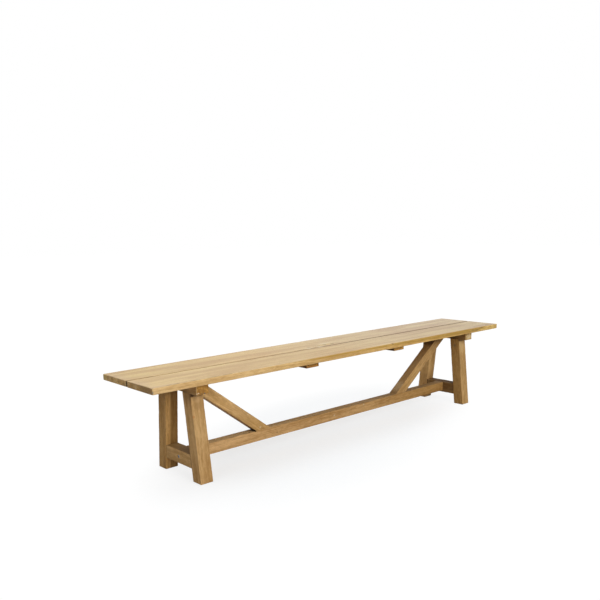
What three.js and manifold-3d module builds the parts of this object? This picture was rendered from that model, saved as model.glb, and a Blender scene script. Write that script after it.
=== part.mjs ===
// A long farmhouse bench for outdoors, in solid timber.
// Two thick planks lie on two splayed end frames. A low stretcher joins the frames, and a slanted brace
// at each end stiffens it. Millimetres, +Z up. The bench's length runs along X and its front faces -Y.
// The origin is on the floor under the middle of the seat.
import * as THREE from "three";
import { mergeVertices } from "three/addons/utils/BufferGeometryUtils.js";
import Module from "manifold-3d";

// Seat
const seatLength = 2300;
const seatWidth = 400;
const seatHeight = 450;
const plankThickness = 26;
const plankGap = 7;
const plankCornerRound = 3;
const plankArris = 2.5;

// The distance from the seat's end to the middle of an end frame
const endOverhang = 241;

// Cross battens under the planks, between the end frames. The inset is from the seat's long edge.
const battenInset = 35;
const battenWidth = 78;
const battenThickness = 24;
const battenCornerRound = 4;
const battenSpacingShare = 1 / 3;

// Bearer at the top of each end frame, set in from the seat's long edges
const bearerInset = 29.5;
const bearerWidth = 61;
const bearerHeight = 43;
const bearerCornerRound = 5;

// Legs: the splay is measured from upright, and the setback from the bearer's end to the leg's outer face
const legWidth = 61;
const legDepth = 58;
const legSplayDegrees = 6.3;
const legSetback = 46.7;
const legTenonThickness = 20;
const legTenonWidth = 36;
const legTenonLength = 30;

// Rail low between the two legs of a frame
const railThickness = 57;
const railHeight = 60;
const railTopHeight = 116.5;
const railTenonThickness = 20;
const railTenonHeight = 40;
const railTenonLength = 34;

// Stretcher between the two rails, with its top flush with theirs
const stretcherWidth = 48;
const stretcherHeight = 50;
const stubTenonWidth = 24;
const stubTenonHeight = 28;
const stubTenonLength = 14;

// Braces: as wide as the stretcher, and the angle is measured from the stretcher's top
const braceDepth = 50;
const braceAngleDegrees = 37.3;

// Edges of the planed timber, and the gap between two pieces that meet
const timberArris = 2;
const jointGap = 0.3;

// Foot glides, let into the leg's end
const glideDiameter = 26;
const glideThickness = 5.5;
const glideReveal = 2.5;
const glideEdge = 1;
const glideNailDiameter = 3.5;
const glideNailLength = 16;

// Bolt and barrel nut that pull the stretcher to each rail. The socket is measured across its flats,
// the tip is how far the bolt runs past the nut, and the setback is from the stretcher's end.
const stretcherBolt = {
  diameter: 8,
  headDiameter: 13,
  headHeight: 8,
  socket: 6,
  recess: 12,
  tip: 3,
  washerDiameter: 16,
  washerThickness: 1.6,
  nutDiameter: 12,
  nutLength: 20,
};
const stretcherNutSetback = 42;

// Bolt and barrel nut that pull each brace down to the stretcher. The nut's height is from the brace's foot.
const braceBolt = {
  diameter: 6,
  headDiameter: 10,
  headHeight: 6,
  socket: 5,
  recess: 14,
  tip: 3,
  washerDiameter: 12,
  washerThickness: 1.6,
  nutDiameter: 10,
  nutLength: 16,
};
const braceNutHeight = 14.5;

// Hexagon screw through each bearer into the head of its brace
const headScrewDiameter = 8;
const headScrewHeadWidth = 13;
const headScrewHeadHeight = 5.5;
const headScrewRecessDiameter = 20;
const headScrewRecess = 9;
const headScrewBite = 38;
const headScrewPoint = 8;

// Countersunk screws up through the bearers and battens into the planks
const plankScrewDiameter = 5;
const plankScrewHeadDiameter = 10;
const plankScrewHeadHeight = 3;
const plankScrewBite = 18;
const plankScrewPoint = 6;
const battenScrewShares = [0.24, 0.72];

// How far a cutting shape runs past the surface that it cuts
const overrun = 5;

// Sides of the round shapes, and steps round an eased edge
const boltSides = 20;
const screwSides = 12;
const hexagonSides = 6;
const arrisSteps = 3;

// Sizes that follow from those above
const plankWidth = (seatWidth - plankGap) / 2;
const plankCentreY = (plankGap + plankWidth) / 2;
const plankBottom = seatHeight - plankThickness;
const frameSpacing = seatLength - 2 * endOverhang;
const battenSpacing = frameSpacing * battenSpacingShare;
const battenLength = seatWidth - 2 * battenInset;
const battenBottom = plankBottom - jointGap - battenThickness;
const bearerLength = seatWidth - 2 * bearerInset;
const bearerTop = plankBottom - jointGap;
const bearerBottom = bearerTop - bearerHeight;
const bearerMiddle = (bearerTop + bearerBottom) / 2;
const bearerInnerX = bearerWidth / 2;
const legSplay = THREE.MathUtils.degToRad(legSplayDegrees);
const legLevelDepth = legDepth / Math.cos(legSplay);
const legTop = bearerBottom - jointGap;
const legOuterTopY = bearerLength / 2 - legSetback;
const legFootY = legCentreYAt(0);
const railMiddle = railTopHeight - railHeight / 2;
const railTenonEndY = legInnerYAt(railMiddle) + railTenonLength;
const railInnerX = railThickness / 2;
const stretcherBoltFloorX = stretcherBolt.recess - railInnerX;
const stretcherNutX = railInnerX + jointGap + stretcherNutSetback;
const stretcherLength = frameSpacing - railThickness - 2 * jointGap;
const stretcherMiddle = railTopHeight - stretcherHeight / 2;
const stretcherBottom = railTopHeight - stretcherHeight;
const braceWidth = stretcherWidth;
const braceAngle = THREE.MathUtils.degToRad(braceAngleDegrees);
const braceFootHeight = railTopHeight + jointGap;
const braceNutZ = railTopHeight + braceNutHeight;
const braceNutX = braceCentreXAt(braceNutZ);
const braceBoltFloorZ = stretcherBottom + braceBolt.recess;

// Colours, from pale sanded planks to the browner frame timber
const plankWood = { color: 0xd2b280, roughness: 0.75, metalness: 0 };
const frameWood = { color: 0xb58f5c, roughness: 0.78, metalness: 0 };
const plugWood = { color: 0xcfb184, roughness: 0.75, metalness: 0 };
const steel = { color: 0x8b9198, roughness: 0.4, metalness: 0.9 };
const blackPlastic = { color: 0x1c1b1a, roughness: 0.6, metalness: 0 };

const wasm = await Module();
wasm.setup();

// The leg's faces and centre line, as distances from the frame's middle, at a height above the floor.
function legOuterYAt(height) {
  return legOuterTopY + (bearerBottom - height) * Math.tan(legSplay);
}

function legInnerYAt(height) {
  return legOuterYAt(height) - legLevelDepth;
}

function legCentreYAt(height) {
  return legOuterYAt(height) - legLevelDepth / 2;
}

// The brace's centre line at a height: its lower edge starts at the bearer's inner bottom corner.
function braceCentreXAt(height) {
  const lowerEdge = bearerInnerX + (bearerBottom - height) / Math.tan(braceAngle);
  return lowerEdge + braceDepth / Math.sin(braceAngle) / 2;
}

// A solid for joining and cutting, from a closed geometry.
function solidFrom(geometry) {
  const bare = geometry.clone();
  bare.deleteAttribute("normal");
  bare.deleteAttribute("uv");
  const welded = mergeVertices(bare);
  return new wasm.Manifold(
    new wasm.Mesh({
      numProp: 3,
      vertProperties: welded.getAttribute("position").array,
      triVerts: new Uint32Array(welded.getIndex().array),
    }),
  );
}

function geometryFrom(solid) {
  const surface = solid.getMesh();
  const geometry = new THREE.BufferGeometry();
  geometry.setAttribute("position", new THREE.BufferAttribute(surface.vertProperties, 3));
  geometry.setIndex(new THREE.BufferAttribute(surface.triVerts, 1));
  geometry.computeVertexNormals();
  return geometry;
}

// A body with pieces added to it and then holes cut from it, all given as closed geometries.
function carved(body, { added = [], cut = [] }) {
  let solid = solidFrom(body);
  for (const piece of added) {
    solid = solid.add(solidFrom(piece));
  }
  for (const hole of cut) {
    solid = solid.subtract(solidFrom(hole));
  }
  return geometryFrom(solid);
}

// A rectangle with round corners, centred on the origin.
function roundedRectangle(width, height, radius) {
  const x = width / 2;
  const y = height / 2;
  const shape = new THREE.Shape();
  shape.moveTo(x, y - radius);
  shape.absarc(x - radius, y - radius, radius, 0, Math.PI / 2);
  shape.absarc(radius - x, y - radius, radius, Math.PI / 2, Math.PI);
  shape.absarc(radius - x, radius - y, radius, Math.PI, 1.5 * Math.PI);
  shape.absarc(x - radius, radius - y, radius, 1.5 * Math.PI, 2 * Math.PI);
  shape.closePath();
  return shape;
}

// Planed timber with eased long edges and square ends, lying centred along Z.
function timber(width, depth, length) {
  return new THREE.ExtrudeGeometry(roundedRectangle(width, depth, timberArris), {
    depth: length,
    bevelEnabled: false,
    curveSegments: arrisSteps,
  }).translate(0, 0, -length / 2);
}

// A board that lies flat on z = 0, with its upright corners rounded and its edges eased all round.
function easedBoard(length, width, thickness, cornerRound, arris) {
  return new THREE.ExtrudeGeometry(roundedRectangle(length, width, cornerRound), {
    depth: thickness - 2 * arris,
    bevelThickness: arris,
    bevelSize: arris,
    bevelOffset: -arris,
    bevelSegments: arrisSteps,
    curveSegments: arrisSteps,
  }).translate(0, 0, arris);
}

// A block between two corners, each given as [x, y, z].
function block(low, high) {
  const [x, y, z] = high.map((top, i) => top - low[i]);
  const middle = high.map((top, i) => (top + low[i]) / 2);
  return new THREE.BoxGeometry(x, y, z).translate(...middle);
}

// A round bar that stands on z = 0.
function bar(diameter, length, sides = boltSides) {
  const radius = diameter / 2;
  return new THREE.CylinderGeometry(radius, radius, length, sides)
    .rotateX(Math.PI / 2)
    .translate(0, 0, length / 2);
}

// A hole for a bar, wider by the joint gap all round, from z = 0 up.
function boreFor(diameter, length, sides = boltSides) {
  return bar(diameter + 2 * jointGap, length, sides);
}

// A turned solid on the Z axis, from [radius, z] points that run upwards.
function turned(points, sides) {
  const profile = points.map(([radius, z]) => new THREE.Vector2(radius, z));
  return new THREE.LatheGeometry(profile, sides).rotateX(Math.PI / 2);
}

// The solid that is in both of two closed geometries.
function common(first, second) {
  return geometryFrom(solidFrom(first).intersect(solidFrom(second)));
}

// The countersunk screws of a bearer, as distances from its middle: beside each leg, inside and outside.
function bearerScrewPlaces() {
  const inside = legInnerYAt(bearerBottom) / 2;
  const outside = (legOuterTopY + bearerLength / 2) / 2;
  return [-outside, -inside, inside, outside];
}

function battenScrewPlaces() {
  const places = battenScrewShares.map((share) => plankGap / 2 + share * plankWidth);
  return [...places.map((y) => -y), ...places];
}

// The places along the bench where screws enter the planks, each with its screws' places across it.
function plankScrewRows() {
  const bearerX = frameSpacing / 2;
  const battenX = battenSpacing / 2;
  return [
    { x: -bearerX, places: bearerScrewPlaces() },
    { x: -battenX, places: battenScrewPlaces() },
    { x: battenX, places: battenScrewPlaces() },
    { x: bearerX, places: bearerScrewPlaces() },
  ];
}

// A clear hole through a bearer or batten of a given height, countersunk from below for the head.
function screwHole(height) {
  const shank = plankScrewDiameter / 2 + jointGap;
  const head = plankScrewHeadDiameter / 2 + jointGap;
  return turned(
    [
      [0, -overrun],
      [head, -overrun],
      [head, jointGap],
      [shank, plankScrewHeadHeight + jointGap],
      [shank, height + overrun],
      [0, height + overrun],
    ],
    screwSides,
  );
}

// One plank, in its own frame: on the middle of its underside. Blind holes below take the screws.
function plankGeometry(centreY) {
  const board = easedBoard(seatLength, plankWidth, plankThickness, plankCornerRound, plankArris);
  const holes = [];
  for (const { x, places } of plankScrewRows()) {
    const mine = places.filter((y) => y * centreY > 0);
    for (const y of mine) {
      const depth = overrun + plankScrewBite + jointGap;
      holes.push(boreFor(plankScrewDiameter, depth, screwSides).translate(x, y - centreY, -overrun));
    }
  }
  return carved(board, { cut: holes });
}

// A batten lies across the bench, so its length is along Y.
function battenGeometry() {
  const board = easedBoard(battenWidth, battenLength, battenThickness, battenCornerRound, timberArris);
  const holes = battenScrewPlaces().map((y) => screwHole(battenThickness).translate(0, y, 0));
  return carved(board, { cut: holes });
}

// The bearer takes the legs' tenons from below, the planks' screws and the brace's screw.
function bearerGeometry() {
  const beam = easedBoard(bearerWidth, bearerLength, bearerHeight, bearerCornerRound, timberArris);
  const mortiseX = legTenonThickness / 2 + jointGap;
  const mortiseY = legTenonWidth / 2 + jointGap;
  const cut = bearerScrewPlaces().map((y) => screwHole(bearerHeight).translate(0, y, 0));
  for (const side of [-1, 1]) {
    const mortise = block([-mortiseX, -mortiseY, -overrun], [mortiseX, mortiseY, legTenonLength]);
    cut.push(mortise.translate(0, side * legCentreYAt(legTop), 0));
  }
  const boreLength = bearerWidth + 2 * overrun;
  const bore = boreFor(headScrewDiameter, boreLength).rotateY(Math.PI / 2);
  cut.push(bore.translate(-bearerWidth / 2 - overrun, 0, bearerHeight / 2));
  const recess = bar(headScrewRecessDiameter, headScrewRecess + overrun).rotateY(Math.PI / 2);
  cut.push(recess.translate(-bearerWidth / 2 - overrun, 0, bearerHeight / 2));
  return carved(beam, { cut });
}

// A front leg, in its own frame: on the floor under its foot's middle, leaning back towards +Y.
function legGeometry() {
  const uncut = timber(legWidth, legDepth, 2 * (seatHeight + legDepth)).rotateX(-legSplay);
  const level = block([-legWidth, -seatHeight, glideReveal], [legWidth, seatHeight, legTop]);
  const topY = legFootY - legCentreYAt(legTop);
  const tenonX = legTenonThickness / 2;
  const tenonY = legTenonWidth / 2;
  const tenon = block(
    [-tenonX, topY - tenonY, legTop - overrun],
    [tenonX, topY + tenonY, legTop + legTenonLength],
  );
  const mortiseX = railTenonThickness / 2 + jointGap;
  const mortiseZ = railTenonHeight / 2 + jointGap;
  const mortiseEnd = legFootY - railTenonEndY - jointGap;
  const mortise = block(
    [-mortiseX, mortiseEnd, railMiddle - mortiseZ],
    [mortiseX, legFootY, railMiddle + mortiseZ],
  );
  const recessDepth = glideThickness - glideReveal + jointGap;
  const recess = boreFor(glideDiameter, recessDepth + overrun).translate(0, 0, glideReveal - overrun);
  const nailHole = boreFor(glideNailDiameter, overrun + glideNailLength + jointGap, screwSides);
  return carved(common(uncut, level), {
    added: [tenon],
    cut: [mortise, recess, nailHole.translate(0, 0, glideThickness - overrun)],
  });
}

// The rail's shoulders lie along the splayed legs, and its level tenons enter them.
function railGeometry() {
  const uncut = timber(railThickness, railHeight, 2 * legOuterYAt(0)).rotateX(Math.PI / 2);
  const shoulder = (z) => legInnerYAt(railMiddle + z) - jointGap / Math.cos(legSplay);
  const outline = new THREE.Shape([
    new THREE.Vector2(-shoulder(-railHeight), -railHeight),
    new THREE.Vector2(shoulder(-railHeight), -railHeight),
    new THREE.Vector2(shoulder(railHeight), railHeight),
    new THREE.Vector2(-shoulder(railHeight), railHeight),
  ]);
  const betweenLegs = new THREE.ExtrudeGeometry(outline, { depth: 2 * railThickness, bevelEnabled: false })
    .translate(0, 0, -railThickness)
    .rotateX(Math.PI / 2)
    .rotateZ(Math.PI / 2);
  const tenonX = railTenonThickness / 2;
  const tenonZ = railTenonHeight / 2;
  const tenons = block([-tenonX, -railTenonEndY, -tenonZ], [tenonX, railTenonEndY, tenonZ]);
  const stubY = stubTenonWidth / 2 + jointGap;
  const stubZ = stubTenonHeight / 2 + jointGap;
  const stubEnd = railInnerX - stubTenonLength;
  const stub = block([stubEnd, -stubY, -stubZ], [railInnerX + overrun, stubY, stubZ]);
  const bore = boreFor(stretcherBolt.diameter, railThickness + 2 * overrun).rotateY(Math.PI / 2);
  const recess = boreFor(stretcherBolt.washerDiameter, stretcherBolt.recess + overrun).rotateY(Math.PI / 2);
  const outside = -railInnerX - overrun;
  return carved(common(uncut, betweenLegs), {
    added: [tenons],
    cut: [stub, bore.translate(outside, 0, 0), recess.translate(outside, 0, 0)],
  });
}

// The stretcher, centred on its own middle, is the same after half a turn about the upright axis.
function stretcherGeometry() {
  const uncut = timber(stretcherHeight, stretcherWidth, stretcherLength).rotateY(Math.PI / 2);
  const stubZ = stubTenonHeight / 2;
  const stubY = stubTenonWidth / 2;
  const stubX = stretcherLength / 2 + stubTenonLength;
  const boltZ = railMiddle - stretcherMiddle;
  const stubs = block([-stubX, -stubY, boltZ - stubZ], [stubX, stubY, boltZ + stubZ]);
  const underside = stretcherBottom - stretcherMiddle;
  const cut = [];
  for (const turn of [0, Math.PI]) {
    cut.push(...stretcherEndHoles(stubX, boltZ, underside).map((hole) => hole.rotateZ(turn)));
  }
  return carved(uncut, { added: [stubs], cut });
}

// The holes of the stretcher's end at -X: the long bolt and its nut, and the bolt up into the brace.
function stretcherEndHoles(stubX, boltZ, underside) {
  const nutX = stretcherNutX - frameSpacing / 2;
  const tipX = nutX + stretcherBolt.nutDiameter / 2 + stretcherBolt.tip;
  const boltLength = tipX + jointGap + stubX + overrun;
  const bolt = boreFor(stretcherBolt.diameter, boltLength).rotateY(Math.PI / 2);
  const nutTop = boltZ + stretcherBolt.nutLength / 2 + jointGap;
  const nut = boreFor(stretcherBolt.nutDiameter, nutTop - underside + overrun);
  const braceX = braceNutX - frameSpacing / 2;
  const upright = boreFor(braceBolt.diameter, stretcherHeight + 2 * overrun);
  const recess = boreFor(braceBolt.washerDiameter, braceBolt.recess + overrun);
  return [
    bolt.translate(-stubX - overrun, 0, boltZ),
    nut.translate(nutX, 0, underside - overrun),
    upright.translate(braceX, 0, underside - overrun),
    recess.translate(braceX, 0, underside - overrun),
  ];
}

// The brace, in its own frame: on the bearer's inner bottom corner, where its lower edge ends.
// Its foot is cut level on the stretcher. Its head is cut upright on the bearer and level under the seat.
function braceGeometry() {
  const reach = 2 * (seatHeight + braceDepth);
  const uncut = timber(braceDepth, braceWidth, 2 * reach)
    .translate(-braceDepth / 2, 0, 0)
    .rotateY(Math.PI / 2 + braceAngle);
  const foot = braceFootHeight - bearerBottom;
  const head = bearerTop - bearerBottom;
  const level = block([jointGap, -braceWidth, foot], [reach, braceWidth, head]);
  const nutZ = braceNutZ - bearerBottom;
  const nutX = braceNutX - bearerInnerX;
  const nutDepth = (braceWidth + braceBolt.nutLength) / 2 + jointGap;
  const nut = boreFor(braceBolt.nutDiameter, nutDepth + overrun).rotateX(-Math.PI / 2);
  const boltTop = nutZ + braceBolt.nutDiameter / 2 + braceBolt.tip + jointGap;
  const bolt = boreFor(braceBolt.diameter, boltTop - foot + overrun);
  const screw = boreFor(headScrewDiameter, overrun + headScrewBite + 2 * jointGap).rotateY(Math.PI / 2);
  return carved(common(uncut, level), {
    cut: [
      nut.translate(nutX, -braceWidth / 2 - overrun, nutZ),
      bolt.translate(nutX, 0, foot - overrun),
      screw.translate(-overrun, 0, bearerMiddle - bearerBottom),
    ],
  });
}

// A glide stands on the floor, with its nail up into the leg.
function glideGeometry() {
  const radius = glideDiameter / 2;
  const nail = glideNailDiameter / 2;
  const nailTop = glideThickness + glideNailLength;
  return turned(
    [
      [0, 0],
      [radius - glideEdge, 0],
      [radius, glideEdge],
      [radius, glideThickness],
      [nail, glideThickness],
      [nail, nailTop - nail],
      [0, nailTop],
    ],
    boltSides,
  );
}

// A socket-head bolt: the head's seat is at z = 0, the shank runs up and the hexagon socket opens below.
function boltGeometry({ diameter, headDiameter, headHeight, socket }, length) {
  const shank = diameter / 2;
  const head = headDiameter / 2;
  const chamfer = shank / 4;
  const body = turned(
    [
      [0, -headHeight],
      [head - chamfer, -headHeight],
      [head, chamfer - headHeight],
      [head, 0],
      [shank, 0],
      [shank, length - chamfer],
      [shank - chamfer, length],
      [0, length],
    ],
    boltSides,
  );
  const acrossCorners = socket / Math.cos(Math.PI / hexagonSides);
  const key = bar(acrossCorners, overrun + headHeight / 2, hexagonSides);
  return carved(body, { cut: [key.translate(0, 0, -headHeight - overrun)] });
}

// A washer that lies on z = 0.
function washerGeometry({ diameter, washerDiameter, washerThickness }) {
  const hole = diameter / 2 + jointGap;
  const rim = washerDiameter / 2;
  return turned(
    [
      [hole, 0],
      [rim, 0],
      [rim, washerThickness],
      [hole, washerThickness],
      [hole, 0],
    ],
    boltSides,
  );
}

// A barrel nut that lies along Y, with its cross hole along Z.
function barrelNutGeometry({ diameter, nutDiameter, nutLength }) {
  const barrel = bar(nutDiameter, nutLength).translate(0, 0, -nutLength / 2).rotateX(Math.PI / 2);
  const reach = nutDiameter / 2 + overrun;
  return carved(barrel, { cut: [boreFor(diameter, 2 * reach).translate(0, 0, -reach)] });
}

// A hexagon-head screw: the head's seat is at z = 0 and the point is at the top.
function headScrewGeometry() {
  const shank = headScrewDiameter / 2;
  const length = bearerWidth - headScrewRecess + headScrewBite + 2 * jointGap;
  const body = turned(
    [
      [0, -headScrewHeadHeight / 2],
      [shank, -headScrewHeadHeight / 2],
      [shank, length - headScrewPoint],
      [0, length],
    ],
    screwSides,
  );
  const acrossCorners = headScrewHeadWidth / Math.cos(Math.PI / hexagonSides);
  const head = bar(acrossCorners, headScrewHeadHeight, hexagonSides);
  return carved(body, { added: [head.translate(0, 0, -headScrewHeadHeight)] });
}

// A countersunk screw: the head's flat is at z = 0 and the point is at the top.
function plankScrewGeometry(timberHeight) {
  const shank = plankScrewDiameter / 2;
  const length = timberHeight + jointGap + plankScrewBite;
  return turned(
    [
      [0, 0],
      [plankScrewHeadDiameter / 2, 0],
      [shank, plankScrewHeadHeight],
      [shank, length - plankScrewPoint],
      [0, length],
    ],
    screwSides,
  );
}

// A plug closes the nut's hole in the brace. It stands on z = 0 at the nut's end.
function plugGeometry() {
  return bar(braceBolt.nutDiameter, (braceWidth - braceBolt.nutLength) / 2 - jointGap);
}

function mesh(name, geometry, finish) {
  const made = new THREE.Mesh(geometry, new THREE.MeshStandardMaterial(finish));
  made.name = name;
  return made;
}

// The seat's planks, and the two battens that tie them together.
function seat() {
  const group = new THREE.Group();
  for (const [side, y] of [["front", -plankCentreY], ["back", plankCentreY]]) {
    const plank = mesh(`seat_plank_${side}`, plankGeometry(y), plankWood);
    plank.position.set(0, y, plankBottom);
    group.add(plank);
  }
  for (const [side, x] of [["left", -battenSpacing / 2], ["right", battenSpacing / 2]]) {
    const batten = new THREE.Group();
    batten.add(mesh(`batten_${side}`, battenGeometry(), frameWood));
    batten.add(...screwsAt(`batten_screw_${side}`, battenThickness, battenScrewPlaces()));
    batten.position.set(x, 0, battenBottom);
    group.add(batten);
  }
  return group;
}

// Countersunk screws in a row across the bench, with their heads in the underside of a timber.
function screwsAt(name, timberHeight, places) {
  return places.map((y, i) => {
    const screw = mesh(`${name}_${i + 1}`, plankScrewGeometry(timberHeight), steel);
    screw.position.y = y;
    return screw;
  });
}

// A leg with its glide, in the leg's own frame.
function legWithGlide(name) {
  const group = new THREE.Group();
  group.add(mesh(`leg_${name}`, legGeometry(), frameWood));
  group.add(mesh(`foot_glide_${name}`, glideGeometry(), blackPlastic));
  return group;
}

// The bearer with the screws that it holds: up into the planks, and level into the brace's head.
function bearerWithScrews(side) {
  const group = new THREE.Group();
  group.add(mesh(`bearer_${side}`, bearerGeometry(), frameWood));
  group.add(...screwsAt(`bearer_screw_${side}`, bearerHeight, bearerScrewPlaces()));
  const headScrew = mesh(`brace_head_screw_${side}`, headScrewGeometry(), steel);
  headScrew.rotation.y = Math.PI / 2;
  headScrew.position.set(headScrewRecess - jointGap - bearerWidth / 2, 0, bearerHeight / 2);
  group.add(headScrew);
  return group;
}

// A bolt's head lies on a washer, and the washer on the floor of the recess at z = 0. The shank runs up
// through a barrel nut whose middle is at nutHeight.
function boltStack(name, side, sizes, nutHeight) {
  const seatHeightInRecess = -sizes.washerThickness - 2 * jointGap;
  const length = nutHeight + sizes.nutDiameter / 2 + sizes.tip - seatHeightInRecess;
  const bolt = mesh(`${name}_bolt_${side}`, boltGeometry(sizes, length), steel);
  bolt.position.z = seatHeightInRecess;
  const washer = mesh(`${name}_washer_${side}`, washerGeometry(sizes), steel);
  washer.position.z = -sizes.washerThickness - jointGap;
  const nut = mesh(`${name}_barrel_nut_${side}`, barrelNutGeometry(sizes), steel);
  nut.position.z = nutHeight;
  const group = new THREE.Group();
  group.add(bolt, washer, nut);
  return group;
}

// The level bolt from the rail's outer face into the stretcher.
function stretcherFixing(side) {
  const stack = boltStack("stretcher", side, stretcherBolt, stretcherNutX - stretcherBoltFloorX);
  stack.rotation.set(0, Math.PI / 2, Math.PI / 2);
  stack.position.set(stretcherBoltFloorX, 0, railMiddle);
  return stack;
}

// The upright bolt from the stretcher's underside into the brace's foot.
function braceFixing(side) {
  const stack = boltStack("brace", side, braceBolt, braceNutZ - braceBoltFloorZ);
  stack.position.set(braceNutX, 0, braceBoltFloorZ);
  return stack;
}

// An end frame in its own frame: on the floor under its middle, with +X towards the bench's middle.
// The near leg stands at -Y.
function endFrame({ side, near, far }) {
  const group = new THREE.Group();
  const nearLeg = legWithGlide(`${side}_${near}`);
  nearLeg.position.y = -legFootY;
  const farLeg = legWithGlide(`${side}_${far}`);
  farLeg.position.y = legFootY;
  farLeg.rotation.z = Math.PI;
  const bearer = bearerWithScrews(side);
  bearer.position.z = bearerBottom;
  const rail = mesh(`rail_${side}`, railGeometry(), frameWood);
  rail.position.z = railMiddle;
  const brace = mesh(`brace_${side}`, braceGeometry(), frameWood);
  brace.position.set(bearerInnerX, 0, bearerBottom);
  const plug = mesh(`brace_plug_${side}`, plugGeometry(), plugWood);
  plug.rotation.x = Math.PI / 2;
  plug.position.set(braceNutX, -braceBolt.nutLength / 2 - jointGap, braceNutZ);
  group.add(nearLeg, farLeg, bearer, rail, brace, plug, stretcherFixing(side), braceFixing(side));
  return group;
}

// The two end frames are alike: the right one is the left one after half a turn.
function frames() {
  const group = new THREE.Group();
  const ends = [
    { side: "left", near: "front", far: "back", turn: 0 },
    { side: "right", near: "back", far: "front", turn: Math.PI },
  ];
  for (const end of ends) {
    const frame = endFrame(end);
    frame.position.x = -frameSpacing / 2;
    const half = new THREE.Group();
    half.rotation.z = end.turn;
    half.add(frame);
    group.add(half);
  }
  return group;
}

const bench = new THREE.Group();
const stretcher = mesh("stretcher", stretcherGeometry(), frameWood);
stretcher.position.z = stretcherMiddle;
bench.add(seat(), frames(), stretcher);

export default bench;
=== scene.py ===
"""The looks of a long farmhouse bench for outdoors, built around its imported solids.

The timbers stand for their solids as finer surfaces, with worn edges and a procedural wood whose rings and
fibres run through each piece. Lengths are in metres, in the solids' frame: +X along the bench, front at -Y.
"""

import logging
import math
from dataclasses import dataclass, field
from enum import Enum
from typing import Sequence

import bpy
import numpy as np
from mathutils import Matrix, Vector


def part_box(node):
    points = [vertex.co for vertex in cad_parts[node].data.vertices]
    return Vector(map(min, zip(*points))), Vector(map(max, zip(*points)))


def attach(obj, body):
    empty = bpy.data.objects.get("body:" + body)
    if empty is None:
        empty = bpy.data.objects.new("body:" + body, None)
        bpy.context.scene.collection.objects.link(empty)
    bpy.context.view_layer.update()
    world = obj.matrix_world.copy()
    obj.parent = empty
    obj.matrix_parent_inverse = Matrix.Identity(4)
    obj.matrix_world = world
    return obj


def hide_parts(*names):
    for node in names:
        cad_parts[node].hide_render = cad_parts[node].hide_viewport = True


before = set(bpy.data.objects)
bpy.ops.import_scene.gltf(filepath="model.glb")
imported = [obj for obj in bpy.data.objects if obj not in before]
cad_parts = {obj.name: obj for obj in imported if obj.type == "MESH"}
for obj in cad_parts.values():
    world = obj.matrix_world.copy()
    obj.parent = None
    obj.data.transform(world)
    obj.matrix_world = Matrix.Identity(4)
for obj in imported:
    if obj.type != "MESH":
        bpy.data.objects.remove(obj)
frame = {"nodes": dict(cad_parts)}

log = logging.getLogger("bench")

Colour = tuple[float, float, float]
Point = tuple[float, float, float]
Stops = tuple[tuple[float, Colour], ...]
Bore = tuple[float, float]
Socket = bpy.types.NodeSocket

MM = 0.001
BODY = "root"
WHITE: Colour = (1.0, 1.0, 1.0)

LEFTWARD: Point = (-1.0, 0.0, 0.0)
RIGHTWARD: Point = (1.0, 0.0, 0.0)
FORWARD: Point = (0.0, -1.0, 0.0)
BACKWARD: Point = (0.0, 1.0, 0.0)
DOWNWARD: Point = (0.0, 0.0, -1.0)
UPWARD: Point = (0.0, 0.0, 1.0)


class Slot(Enum):
    """The record's material slots for the timbers."""

    PLANK = "plank_wood"
    FRAME = "frame_wood"


class Named(Enum):
    """A choice whose name goes into the names of nodes."""

    @property
    def word(self) -> str:
        """The choice's name in node names."""
        return self.name.lower()


class Side(Named):
    """The bench's two ends, with the sign of their X."""

    LEFT = -1
    RIGHT = 1


class Row(Named):
    """The bench's front and back, with the sign of their Y."""

    FRONT = -1
    BACK = 1


class Runs(Enum):
    """The way that a knot runs through its timber."""

    ACROSS = "across"
    DEEP = "deep"


# Shader signals


class Signal:
    """A number that flows between shader nodes and takes part in Python sums."""

    def __init__(self, shader: "Shader", socket: Socket) -> None:
        """Wraps an output socket.

        Args:
            shader: The shader whose tree holds the socket.
            socket: An output socket that carries a number.
        """
        self.shader = shader
        self.socket = socket

    def __add__(self, other: "Signal | float") -> "Signal":
        """The sum."""
        return self.shader.math("ADD", self, other)

    __radd__ = __add__

    def __sub__(self, other: "Signal | float") -> "Signal":
        """The difference."""
        return self.shader.math("SUBTRACT", self, other)

    def __rsub__(self, other: float) -> "Signal":
        """A number less this signal."""
        return self.shader.math("SUBTRACT", other, self)

    def __mul__(self, other: "Signal | float") -> "Signal":
        """The product."""
        return self.shader.math("MULTIPLY", self, other)

    __rmul__ = __mul__

    def __truediv__(self, other: "Signal | float") -> "Signal":
        """The quotient."""
        return self.shader.math("DIVIDE", self, other)

    def __rtruediv__(self, other: float) -> "Signal":
        """A number divided by this signal."""
        return self.shader.math("DIVIDE", other, self)

    def __abs__(self) -> "Signal":
        """The size without its sign."""
        return self.shader.math("ABSOLUTE", self)

    def root(self) -> "Signal":
        """The square root."""
        return self.shader.math("SQRT", self)

    def fraction(self) -> "Signal":
        """What is left after the whole number below."""
        return self.shader.math("FRACT", self)

    def at_least(self, other: "Signal | float") -> "Signal":
        """The larger of the two."""
        return self.shader.math("MAXIMUM", self, other)

    def swing(self, gain: float) -> "Signal":
        """A noise's value as a swing round zero, times a gain."""
        return (self - 0.5) * gain

    def rise(self, low: float, high: float) -> "Signal":
        """An S-shaped step.

        Args:
            low: Where the step starts, at 0.
            high: Where it ends, at 1. It may be below low, and then the step falls.

        Returns:
            A signal from 0 to 1.
        """
        down = high < low
        sockets = {"Value": self, "From Min": min(low, high), "From Max": max(low, high)}
        sockets |= {"To Min": 1.0 if down else 0.0, "To Max": 0.0 if down else 1.0}
        made = self.shader.node("ShaderNodeMapRange", {"interpolation_type": "SMOOTHSTEP"}, sockets)
        return Signal(self.shader, made.outputs["Result"])


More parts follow.
